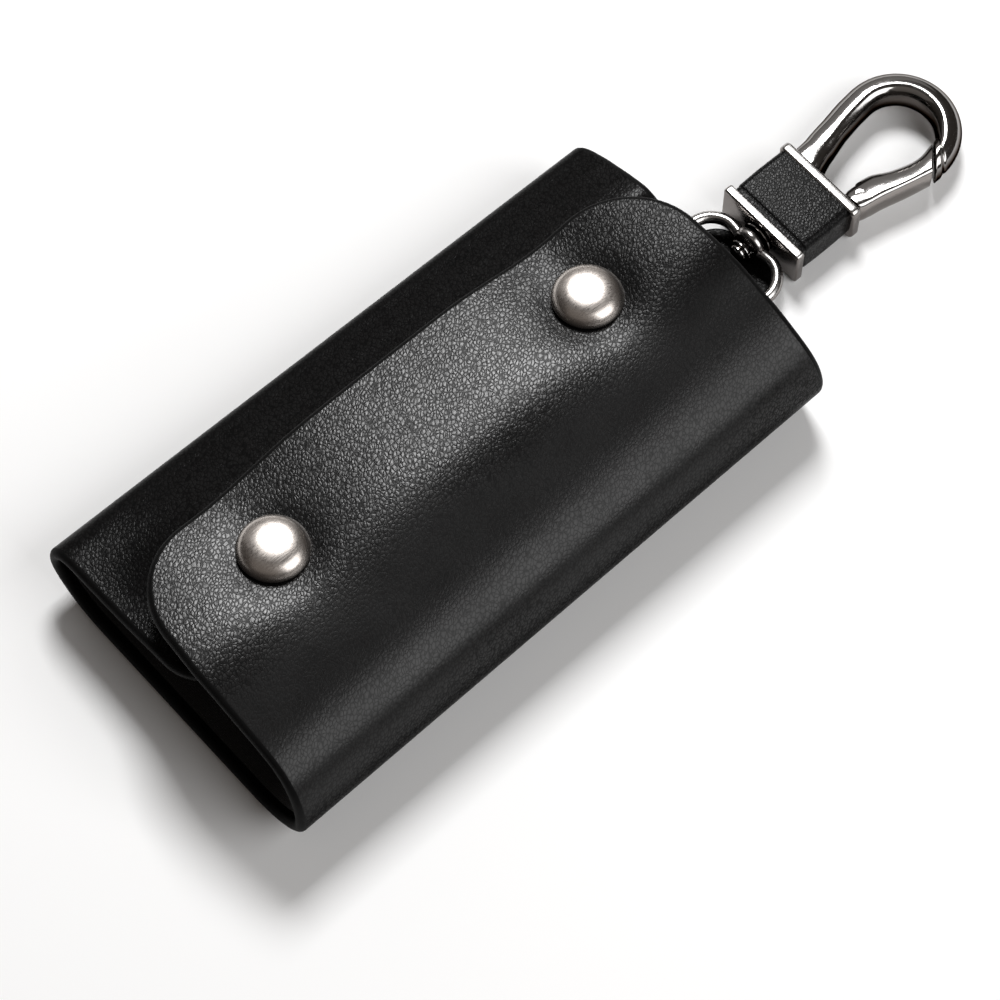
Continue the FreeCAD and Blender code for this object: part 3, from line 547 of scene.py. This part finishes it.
def right_field(x, s):
    """how far the formed leather stands out from the plain section"""
    u = x / 51.5
    shoulder = (0.1 - 0.3 * u) * np.exp(-(((s - 44.0) / 6.5) ** 2))
    held = np.exp(-(((x + 30.0) / np.where(x > -30.0, 12.5, 9.5)) ** 2)) + np.exp(-(((x - 30.0) / 9.5) ** 2))
    bulge = (1.2 * (1 - held) + 1.05 * np.clip((x - 31.0) / 20.0, 0, 1) ** 1.15) * step_up(s, RIDGE - 9.0, RIDGE + 7.0)
    pressed = 0.0
    for cx in SNAPS:
        r = np.hypot(x - cx, (s - SNAP_S) * 0.95)
        pressed = pressed - 0.40 * np.exp(-((r / 6.6) ** 4))
    return shoulder + bulge + pressed


def left_field(x, s):
    """what is kept inside pushes the under flap up, away from its near end"""
    y = np.interp(s, LEFT.s, LEFT.p[:, 0])
    rise = ease(y, [(3.5, 0.0), (8.0, 1.0), (12.3, 2.75), (15.5, 2.3), (20.5, 0.7), (24.6, -0.35), (26.9, 0.0), (30.0, 0.0)], True)
    return rise * step_up(s, 30, 36) * step_up(x, -50, -30)


def right_half(s):
    return 51.5 - 1.0 * step_up(s, 31.0, 46.0)


def left_half(s):
    return 51.5 - 0.5 * step_up(s, 31.0, 40.0)


R_CUT = dict(end=TAIL, warp=right_warp)
L_CUT = dict(warp=left_warp)
wrap_right = shell("wrap_right", RIGHT, right_half, 13.5, 0.0, 1.3, 1.9, right_field, [LEATHER, EDGE], hem=(1.0, 0.7), grain=right_grain, gloss_and_shade=right_painted_shade_gloss, **R_CUT)
wrap_left = shell("wrap_left", LEFT, left_half, 8.0, 0.0, 1.3, 1.9, left_field, [LEATHER, EDGE], hem=(1.0, 0.7), grain=left_grain, gloss_and_shade=left_painted_shade_gloss, **L_CUT)
lining_right = shell("lining_right", RIGHT, right_half, 13.5, 1.32, 1.9, 0.58, right_field, [LINING, LINING], inset=1.75, row=1.2, col=1.3, **R_CUT)
lining_left = shell("lining_left", LEFT, left_half, 8.0, 1.32, 1.9, 0.58, left_field, [LINING, LINING], inset=1.75, row=1.2, col=1.3, **L_CUT)
for ob, body, a, b in (
    (wrap_right, "top_flap", (0, -27.4, 7.0), (0, -26.2, 16.93)),
    (lining_right, "top_flap", (0, -27.4, 7.0), (0, -26.2, 16.93)),
    (wrap_left, "under_flap", (0, 27.2, 6.3), (0, 26.75, 10.8)),
    (lining_left, "under_flap", (0, 27.2, 6.3), (0, 26.75, 10.8)),
):
    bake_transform(ob)
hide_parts("back_panel", "top_flap_leather")
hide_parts("back_panel", "under_flap_leather")
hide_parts("back_lining", "top_flap_lining")
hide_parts("back_lining", "under_flap_lining")


# ------------------------------------------------------------------ ring, swivel, block and snap hook
AX_Y, AX_Z = -0.4, 3.75


def oval(out, inn, high, n_out, n_in, m=56, shift=0.0):
    """a closed section: half-widths on its two sides, half-height and how square each side is"""
    t = np.linspace(0, 2 * np.pi, 1440, endpoint=False)
    c, s = np.cos(t), np.sin(t)
    n = np.where(c >= 0, n_out, n_in)
    u = shift + np.where(c >= 0, out, inn) * np.sign(c) * np.abs(c) ** (2 / n)
    v = high * np.sign(s) * np.abs(s) ** (2 / n)
    q = np.r_[np.c_[u, v], [[u[0], v[0]]]]
    d = np.r_[0, np.cumsum(np.hypot(*np.diff(q, axis=0).T))]
    k = np.linspace(0, d[-1], m, endpoint=False)
    return np.c_[np.interp(k, d, q[:, 0]), np.interp(k, d, q[:, 1])]


def loft(name, rings, mats, sharp=40.0, flat=None, face_mat=None, gloss_and_shade=None):
    """a closed skin over a row of rings of points, flat at both ends"""
    m, k = len(rings[0]), len(rings)
    faces = []
    for i in range(k - 1):
        for j in range(m):
            faces.append((i * m + j, i * m + (j + 1) % m, (i + 1) * m + (j + 1) % m, (i + 1) * m + j))
    faces += [tuple(range(m)), tuple(range((k - 1) * m, k * m))]
    return piece(name, np.vstack(rings), faces, mats, face_mat, None if flat is None else np.vstack(flat), sharp, gloss_and_shade=gloss_and_shade)


def loop_of(name, rings, mats, sharp=40.0):
    """a closed skin over rings that come back round to the first"""
    m, k = len(rings[0]), len(rings)
    faces = []
    for i in range(k):
        for j in range(m):
            a, b = i * m, ((i + 1) % k) * m
            faces.append((a + j, a + (j + 1) % m, b + (j + 1) % m, b + j))
    return piece(name, np.vstack(rings), faces, mats, sharp=sharp)


def turned(name, profile, mats, m=64, sharp=32.0):
    """a piece turned about the swivel axis from (x, radius) points, with its ends on the axis side closed"""
    a = np.linspace(0, 2 * np.pi, m, endpoint=False)
    rings = [np.c_[np.full(m, x), AX_Y + r * np.cos(a), AX_Z + r * np.sin(a)] for x, r in profile]
    return loft(name, rings, mats, sharp)


def round_rect(w, h, r, m=14):
    """a rounded rectangle, anticlockwise from its right side"""
    a, b = w / 2 - r, h / 2 - r
    q = []
    for cx, cy, a0 in ((a, b, 0), (-a, b, 90), (-a, -b, 180), (a, -b, 270)):
        for k in range(m):
            f = math.radians(a0 + 90.0 * k / (m - 1))
            q.append((cx + r * math.cos(f), cy + r * math.sin(f)))
    q = np.array(q)
    out = [q[0]]
    for p0, p1 in zip(q, np.vstack([q[1:], q[:1]])):
        g = np.hypot(*(p1 - p0))
        k = max(1, int(g / 0.6))
        for i in range(1, k + 1):
            out.append(p0 + (p1 - p0) * i / k)
    return np.array(out[:-1])


def plate(name, x0, x1, w, h, corner, edge, mats, cy=0.0, bow=0.0):
    """a cast end plate across the swivel axis with its edges rolled over"""
    rings = []
    for f in np.linspace(-90, 90, 19):
        x = x0 + edge * (1 + math.sin(math.radians(f))) if f <= 0 else x1 - edge * (1 - math.sin(math.radians(f)))
        e = edge * (1 - math.cos(math.radians(f)))
        q = round_rect(w - 2 * e, h - 2 * e, max(corner - e, 0.12))
        z = q[:, 1] + bow * (1 - (2 * q[:, 0] / w) ** 2) * np.sign(q[:, 1])
        rings.append(np.c_[np.full(len(q), x), AX_Y + cy + q[:, 0], AX_Z + z])
    # the same number of points on every ring
    even = []
    for r in rings:
        d = np.r_[0, np.cumsum(np.linalg.norm(np.diff(np.vstack([r, r[:1]]), axis=0), axis=1))]
        k = np.linspace(0, d[-1], 176, endpoint=False)
        rr = np.vstack([r, r[:1]])
        even.append(np.c_[[np.interp(k, d, rr[:, i]) for i in range(3)]].T)
    return loft(name, even, mats, 50.0)


# snap hook: one casting, broad and squarish at its foot, oval round the loop, cut on the slant at the nose
HOOK = Path(
    [
        ("line", (75.0, 3.0), (77.0, 3.47)),
        ("through", [(80.0, 4.22), (83.0, 5.0), (86.0, 5.66), (88.4, 6.08)]),
        ("arc", (91.8, -1.4), 7.78, 99.0, -90.0),
    ],
    1.0,
    soften=0.8,
)


def hook_ring(s, grow=1.0):
    p, d, n = (HOOK.read(v, s) for v in (HOOK.p, HOOK.t, HOOK.n))
    left = HOOK.length - s
    a = ease(s, [(0, 2.75), (1.5, 2.68), (5.5, 2.38), (10.5, 2.12), (40, 2.08), (60, 2.08)])
    b = ease(s, [(0, 3.08), (1.5, 3.05), (6.5, 2.86), (12, 2.8), (60, 2.74)])
    k = ease(s, [(0, 4.0), (1.6, 3.6), (6.0, 2.5), (12, 2.08), (60, 2.08)])
    # the collar at the nose and the groove behind it
    grow = grow * (1.0 + 0.075 * ease(left, [(0, 1), (1.15, 1), (1.45, 0), (99, 0)]) - 0.05 * ease(left, [(0, 0), (1.4, 0), (1.65, 1), (2.0, 0), (99, 0)]))
    lip = 0.4 * ease(left, [(0, 1), (1.0, 1), (2.2, 0), (99, 0)])
    sh = 0.75 * ease(s, [(0, 0), (2.5, 0.2), (9.0, 1), (99, 1)]) * ease(left, [(0, 0.3), (1.5, 0.4), (7.0, 1), (99, 1)])
    wide = 0.42 * ease(s, [(0, 0), (4.0, 0.3), (13.0, 1), (99, 1)]) * ease(left, [(0, 0), (4.0, 0), (14.0, 1), (99, 1)])
    q = oval((a + sh) * grow, (a + wide - sh) * grow + lip, b * grow, k, k, shift=-sh * grow)
    lean = math.radians(45.9) * ease(left, [(0, 1), (1.0, 1), (7.5, 0), (99, 0)])
    turn = math.radians(-5.0) * ease(s, [(0, 1), (2.0, 1), (14.0, 0), (99, 0)])
    u = q[:, 0] * math.cos(turn) - q[:, 1] * math.sin(turn)
    v = q[:, 0] * math.sin(turn) + q[:, 1] * math.cos(turn)
    side = (n * math.cos(lean) + d * math.sin(lean)) / math.cos(lean) ** 0.75
    xy = p + side * u[:, None]
    return np.c_[xy, AX_Z + v]


stations = np.r_[np.arange(0, HOOK.length - 3.0, 0.38), np.arange(HOOK.length - 3.0, HOOK.length - 0.22, 0.1)]
rings = [hook_ring(s) for s in stations]
for off, grow in ((0.2, 0.995), (0.1, 0.975), (0.03, 0.94), (0.0, 0.88)):
    rings.append(hook_ring(HOOK.length - off, grow))
hook = loft("hook_body", rings, [CHROME], 45.0)


# gate: a lever with a crowned top, its high line nearer the outside, and a fork at its root
def through(points, k):
    q = np.array(points, float)
    q = np.vstack([2 * q[0] - q[1], q, 2 * q[-1] - q[-2]])
    out = []
    for i in range(1, len(q) - 2):
        u = np.linspace(0, 1, 40, endpoint=False)[:, None]
        a, b, c, d = q[i - 1 : i + 3]
        out.append(0.5 * (2 * b + (c - a) * u + (2 * a - 5 * b + 4 * c - d) * u**2 + (3 * b - a - 3 * c + d) * u**3))
    r = np.vstack(out + [q[-2][None]])
    d = np.r_[0, np.cumsum(np.hypot(*np.diff(r, axis=0).T))]
    w = np.linspace(0, 1, k) * d[-1]
    return np.c_[np.interp(w, d, r[:, 0]), np.interp(w, d, r[:, 1])]


G = 74
g_in = through([(77.3, -4.2), (78.3, -3.85), (79.8, -3.75), (82.9, -4.12), (86.0, -5.72), (90.2, -6.92), (93.9, -6.5)], G)
g_out = through([(77.3, -8.05), (78.1, -8.4), (79.2, -8.6), (81.8, -9.12), (85.4, -10.02), (89.35, -10.95)], G)
rings = []
for i in range(G):
    mid, half = (g_in[i] + g_out[i]) / 2, np.hypot(*(g_out[i] - g_in[i])) / 2
    d = (g_out[i] - g_in[i]) / (2 * half)
    f = i / (G - 1)
    sh = 0.62 * half * ease(f, [(0, 0.3), (0.2, 1), (1, 1)])
    ni = ease(f, [(0, 2.5), (0.12, 2.15), (0.3, 1.95), (1, 1.9)])
    no = ease(f, [(0, 4.0), (0.14, 3.4), (0.32, 3.0), (1, 2.9)])
    q = oval(half - sh, half + sh, ease(f, [(0, 2.58), (0.15, 2.6), (0.6, 2.6), (1, 2.5)]), no, ni, shift=sh)
    rings.append(np.c_[mid + d * q[:, :1], AX_Z + q[:, 1]])


def shrink(ring, k, shift):
    c = ring.mean(0)
    return c + (ring - c) * k + shift


way0 = np.r_[(g_in[0] + g_out[0]) / 2 - (g_in[1] + g_out[1]) / 2, 0]
way0 /= np.linalg.norm(way0)
way1 = np.array([0.696, -0.718, 0.0])
head = [shrink(rings[0], k, way0 * s) for k, s in ((0.80, 0.17), (0.87, 0.155), (0.93, 0.12), (0.975, 0.06))]
tail = [shrink(rings[-1], k, way1 * s) for k, s in ((0.99, 0.07), (0.965, 0.11), (0.92, 0.135), (0.86, 0.14))]
gate = loft("gate_lever", head + rings + tail, [GATE], 45.0)


def slot_tool():
    """the fork's slot: open toward the block and the inside, round at its end"""
    c = np.array([78.9, -5.7 + AX_Y])
    a = np.radians(np.linspace(-31, 90, 25))
    outline = [(c[0] - 6, c[1] - 1.42)] + [(c[0] + 2.75 * math.cos(v), c[1] + 2.75 * math.sin(v)) for v in a]
    outline += [(c[0] - 0.01, c[1] + 4.5), (c[0] - 6, c[1] + 4.5)]
    lo = np.array([(x, y, AX_Z - 1.55) for x, y in outline])
    hi = lo + [0, 0, 3.1]
    return loft("slot_tool", [lo, hi], [GATE])


tool = slot_tool()
mod = gate.modifiers.new("slot", "BOOLEAN")
mod.operation, mod.solver, mod.object = "DIFFERENCE", "EXACT", tool
bpy.context.view_layer.update()
cut = bpy.data.meshes.new_from_object(gate.evaluated_get(bpy.context.evaluated_depsgraph_get()))
gate.modifiers.clear()
gate.data = cut
cut.polygons.foreach_set("use_smooth", [True] * len(cut.polygons))
cut.set_sharp_from_angle(angle=math.radians(38))
bpy.data.objects.remove(tool, do_unlink=True)


def lug_ring(z, e):
    """the lug between the fork's cheeks, round about the pin and let into the plate"""
    cx, cy, r = 78.9, -5.7 + AX_Y, 1.35 - e
    a = np.radians(np.linspace(-90, 90, 33))
    q = np.r_[np.c_[cx + r * np.cos(a), cy + r * np.sin(a)], [[75.6, cy + r], [75.6, cy - r]]]
    return np.c_[q, np.full(len(q), AX_Z + z)]


lug = loft("gate_lug", [lug_ring(z, e) for z, e in ((-1.45, 0.14), (-1.41, 0.05), (-1.31, 0.0), (-0.09, 0.0), (0.01, 0.05), (0.05, 0.14))], [CHROME], 40.0)

# block: two cast plates with the leather between them
upper = plate("upper_plate", 74.8, 76.6, 16.4, 7.5, 1.0, 0.5, [RING], cy=-0.25, bow=0.06)
lower = plate("lower_plate", 63.45, 64.95, 16.3, 7.5, 0.5, 0.3, [RING])

xs = np.r_[64.5, 64.56, np.arange(64.66, 65.5, 0.14), np.arange(65.5, 66.1, 0.06), np.arange(66.2, 74.6, 0.28), 74.7, 74.85, 75.0]
rings, flats = [], []
for x in xs:
    press = 0.07 * math.exp(-(((x - 65.78) / 0.13) ** 2)) + 0.08 * (1 - float(step_up(x, 65.5, 66.2)))
    puff = 0.16 * math.sin(math.pi * min(max((x - 65.8) / 9.2, 0), 1)) ** 0.7
    q = round_rect(14.85 - 2 * press + puff, 7.08 - 2 * press + 1.4 * puff, 1.15)
    z = q[:, 1] + 0.10 * (1 - (q[:, 0] / 7.4) ** 2) * np.sign(q[:, 1])
    r = np.c_[np.full(len(q), x), AX_Y + q[:, 0], AX_Z + z]
    rr = np.vstack([r, r[:1]])
    d = np.r_[0, np.cumsum(np.linalg.norm(np.diff(rr, axis=0), axis=1))]
    k = np.linspace(0, d[-1], 150, endpoint=False)
    rings.append(np.c_[[np.interp(k, d, rr[:, i]) for i in range(3)]].T)
    flats.append(np.c_[np.full(150, x), k, np.zeros(150)])
band = loft("block_leather", rings, [FINE], 55.0, flats, gloss_and_shade=0.36)

# swivel: headed post, washer and a ring whose wire runs into an eye around the post
post = turned(
    "swivel_stem",
    [(58.3, 0.35), (58.32, 0.7), (58.42, 1.05), (58.62, 1.32), (58.88, 1.47), (59.1, 1.46), (59.24, 1.36), (59.3, 1.42),
     (59.36, 1.75), (59.44, 1.92), (59.56, 2.0), (59.76, 2.0), (59.9, 1.93), (60.0, 1.78), (60.06, 1.5), (60.1, 1.12),
     (60.6, 1.08), (62.6, 1.08), (63.2, 1.1), (63.26, 1.7), (63.32, 1.86), (63.42, 1.9), (63.55, 1.86), (63.66, 1.5), (63.7, 1.1)],
    [CHROME],
)
washer = turned("swivel_disc", [(62.84, 1.15), (62.84, 2.3), (62.87, 2.55), (62.94, 2.66), (63.05, 2.7), (63.16, 2.66), (63.23, 2.55), (63.25, 2.3), (63.25, 1.15)], [CHROME])

WIRE = Path(
    [
        ("line", (61.8, 2.2), (61.8, 3.8)),
        ("arc", (57.2, 3.8), 4.6, 0, 90),
        ("line", (57.2, 8.4), (57.1, 8.4)),
        ("arc", (57.1, 5.8), 2.6, 90, 180),
        ("line", (54.5, 5.8), (54.5, -5.8)),
        ("arc", (57.1, -5.8), 2.6, 180, 270),
        ("line", (57.1, -8.4), (57.2, -8.4)),
        ("arc", (57.2, -3.8), 4.6, 270, 360),
        ("line", (61.8, -3.8), (61.8, -2.2)),
    ],
    1.0,
    soften=0.35,
)
rings = []
circle = np.radians(np.linspace(0, 360, 32, endpoint=False))
for s in np.linspace(0, WIRE.length, 190):
    p, n = WIRE.read(WIRE.p, s), WIRE.read(WIRE.n, s)
    r = 0.97 + 0.10 * math.exp(-((min(s, WIRE.length - s) / 0.9) ** 2))
    # the shoulders dip toward the eye
    p = p - [0.30 * math.exp(-((min(s, WIRE.length - s) / 1.6) ** 2)), 0]
    rings.append(np.c_[p + n * (r * np.cos(circle))[:, None], r * np.sin(circle)] + [0, AX_Y, AX_Z])
wire = loft("ring_wire", rings, [RING])
rings = []
for a in np.radians(np.linspace(0, 360, 56, endpoint=False)):
    rx, rr = 0.92 * np.cos(circle), 0.86 * np.sin(circle)
    rings.append(np.c_[61.55 + rx, AX_Y + (2.02 + rr) * math.cos(a), AX_Z + (2.02 + rr) * math.sin(a)])
eye_ring = loop_of("ring_eye", rings, [RING])

# strap: one strip folded round the ring's bar
STRAP = Path(
    [
        ("line", (44.7, 2.42), (51.4, 2.36)),
        ("through", [(53.0, 2.0), (54.4, 1.62)]),
        ("arc", (54.5, 3.75), 2.15, -88, 118),
        ("through", [(51.9, 4.55), (50.2, 3.62)]),
        ("line", (49.9, 3.44), (44.7, 3.42)),
    ],
    1.0,
    soften=0.3,
)
rings, flats = [], []
for s in np.r_[0, 0.05, 0.14, 0.3, np.linspace(0.6, STRAP.length - 0.6, 130), STRAP.length - np.array([0.3, 0.14, 0.05, 0])]:
    p, n = STRAP.read(STRAP.p, s), STRAP.read(STRAP.n, s)
    thick = 0.49 + 0.52 * float(np.clip(1 - abs(np.hypot(*(p - [54.9, 3.75])) - 1.9) / 2.6, 0, 1)) ** 1.0
    near_end = min(s, STRAP.length - s)
    k = math.sqrt(max(0.04, 1 - max(0.0, 1 - near_end / 0.4) ** 2))
    q = oval(6.0 - 0.25 * (1 - k), 6.0 - 0.25 * (1 - k), thick * k, 7.0, 7.0, 64)
    rings.append(np.c_[p[0] + n[0] * q[:, 1], AX_Y + q[:, 0], p[1] + n[1] * q[:, 1]])
    flats.append(np.c_[np.full(64, s), q[:, 0], q[:, 1]])
strap = loft("ring_tab", rings, [LEATHER], 60.0, flats, gloss_and_shade=0.5)

# a thin black leather sheet lies under the ring, where the floor inside the ring stands in shade: painted shade
rings, flats = [], []
for x in np.r_[51.75, 51.8, 51.9, 52.05, np.linspace(52.3, 57.6, 16), 57.6 + 4.6 * np.sin(np.radians(np.arange(4, 87, 4)))]:
    k = min(1.0, math.sqrt(max(0.05, 1 - max(0.0, 1 - (x - 51.7) / 0.35) ** 2)))
    over = max(0.0, (x - 57.6) / 4.62)
    half = 3.3 + 4.5 * math.sqrt(1 - over * over)
    rise = 0.30 * float(step_up(x, 57.0, 52.0)) if x < 57 else 0.0
    q = oval(half, half, 0.34 * k, 9.0, 9.0, 72)
    rings.append(np.c_[np.full(72, x), AX_Y + q[:, 0], 0.36 + rise + q[:, 1]])
    flats.append(np.c_[np.full(72, x), q[:, 0] + 40.0, q[:, 1]])
shade_sheet = loft("ring_shade_sheet", rings, [LEATHER], 60.0, flats, gloss_and_shade=0.3)
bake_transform(shade_sheet)
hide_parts("ring_strap")


def snap_cap(name, cx):
    """a drawn cap: a low dome with its edge rolled under, standing on a narrower neck"""
    prof = [(4.5, -1.0), (4.68, -0.92), (4.74, -0.6), (4.8, -0.3), (5.02, -0.16), (5.24, -0.06), (5.36, 0.1), (5.38, 0.3), (5.32, 0.56), (5.18, 0.86),
            (4.96, 1.24), (4.65, 1.61), (4.23, 1.95), (3.68, 2.22), (3.02, 2.43), (2.26, 2.57), (1.43, 2.655), (0.5, 2.69)]
    up_ = np.array(Vector((math.tan(math.radians(2.7)), math.tan(math.radians(2.5)), 1.0)).normalized())
    along = np.cross([0.0, 1.0, 0.0], up_)
    along /= np.linalg.norm(along)
    side = np.cross(up_, along)
    c = np.array([cx + 0.35, 2.55, 21.75])
    a = np.radians(np.linspace(0, 360, 72, endpoint=False))
    rings = [c + r * np.cos(a)[:, None] * along + r * np.sin(a)[:, None] * side + z * up_ for r, z in prof]
    return loft(name, rings, [NICKEL], 40.0)


caps = [(snap_cap("cap_near", -30.0), "snap_cap_near"), (snap_cap("cap_far", 30.0), "snap_cap_far")]
for ob, n in caps:
    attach(ob, "top_flap")
    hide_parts(n)

for ob, body, names, slot in (
    (hook, "snap_hook", ("hook_loop",), "chrome"),
    (gate, "gate", ("gate",), "chrome"),
    (lug, "snap_hook", ("gate_post",), "chrome"),
    (upper, "snap_hook", ("upper_cap",), "chrome"),
    (lower, "snap_hook", ("lower_cap",), "chrome"),
    (band, "snap_hook", ("leather_band",), "leather"),
    (post, "snap_hook", ("swivel_post",), "chrome"),
    (washer, "snap_hook", ("swivel_washer",), "chrome"),
    (wire, "ring", ("swivel_ring",), "chrome"),
    (eye_ring, "ring", ("swivel_ring",), "chrome"),
    (strap, "case_back", ("ring_strap",), "leather"),
):
    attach(ob, body)
    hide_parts(*names)


# ------------------------------------------------------------------ carried-over nodes
def finish_node(names, mat):
    for n in names:
        o = nodes[n]
        o.data.materials.clear()
        o.data.materials.append(mat)


finish_node(
    ["snap_socket_near", "snap_socket_far", "snap_stud_near", "snap_stud_far", "stud_eyelet_near", "stud_eyelet_far",
     "key_rail", "hook_rod", "rail_rivets", "rivet_burrs", "strap_rivet", "gate_pin", "gate_spring", "block_core"],
    STEEL,
)
finish_node(["key_hook_%d" % i for i in range(1, 7)], NICKEL)


# ------------------------------------------------------------------ floor and lights
def floor():
    m, t, b = material("floor")
    n = noise(t, object_mm(t), 0.01, 2.0).outputs["Fac"]
    t.links.new(mix_colour(t, n, (0.935, 0.935, 0.935), (0.95, 0.95, 0.95)), b.inputs["Base Color"])
    b.inputs["Roughness"].default_value = 0.9
    b.inputs["Specular IOR Level"].default_value = 0.1
    me = bpy.data.meshes.new("floor")
    k = 4.0
    me.from_pydata([(-k, -k, -0.0002), (k, -k, -0.0002), (k, k, -0.0002), (-k, k, -0.0002)], [], [(0, 1, 2, 3)])
    me.materials.append(m)
    ob = bpy.data.objects.new("floor", me)
    scene.collection.objects.link(ob)


floor()


def softbox(name, at, size, power, colour=(1, 1, 1), aim=(0.0, 0.0, 0.01), along=None):
    d = bpy.data.lights.new(name, "AREA")
    d.shape, d.size, d.size_y = "RECTANGLE", size[0], size[1]
    d.energy, d.color = power, colour
    o = bpy.data.objects.new(name, d)
    scene.collection.objects.link(o)
    z = (Vector(at) - Vector(aim)).normalized()
    x = Vector((0, 0, 1)).cross(z) if along is None else Vector(along) - Vector(along).dot(z) * z
    x.normalize()
    y = z.cross(x)
    o.matrix_world = Matrix([[x[i], y[i], z[i], at[i]] for i in range(3)] + [[0, 0, 0, 1]])
    return o


softbox("main_box", (0.328, 0.3635, 0.694), (0.24, 0.28), 6.4, along=(1, 0, 0))
softbox("right_box", (0.238, -0.60, 0.554), (0.6, 0.66), 4.2, along=(1, 0, 0))
softbox("fill_box", (-0.50, -0.25, 0.72), (1.4, 1.0), 0.55, (1.0, 0.92, 0.85))
softbox("back_card", (0.45, 0.85, 0.42), (1.6, 0.7), 0.75, (1.0, 0.97, 0.95), along=(1, 0, 0))
world = bpy.data.worlds.new("studio")
scene.world = world
world.use_nodes = True
bg = world.node_tree.nodes["Background"]
bg.inputs["Color"].default_value = (1.0, 0.86, 0.76, 1.0)
bg.inputs["Strength"].default_value = 0.04
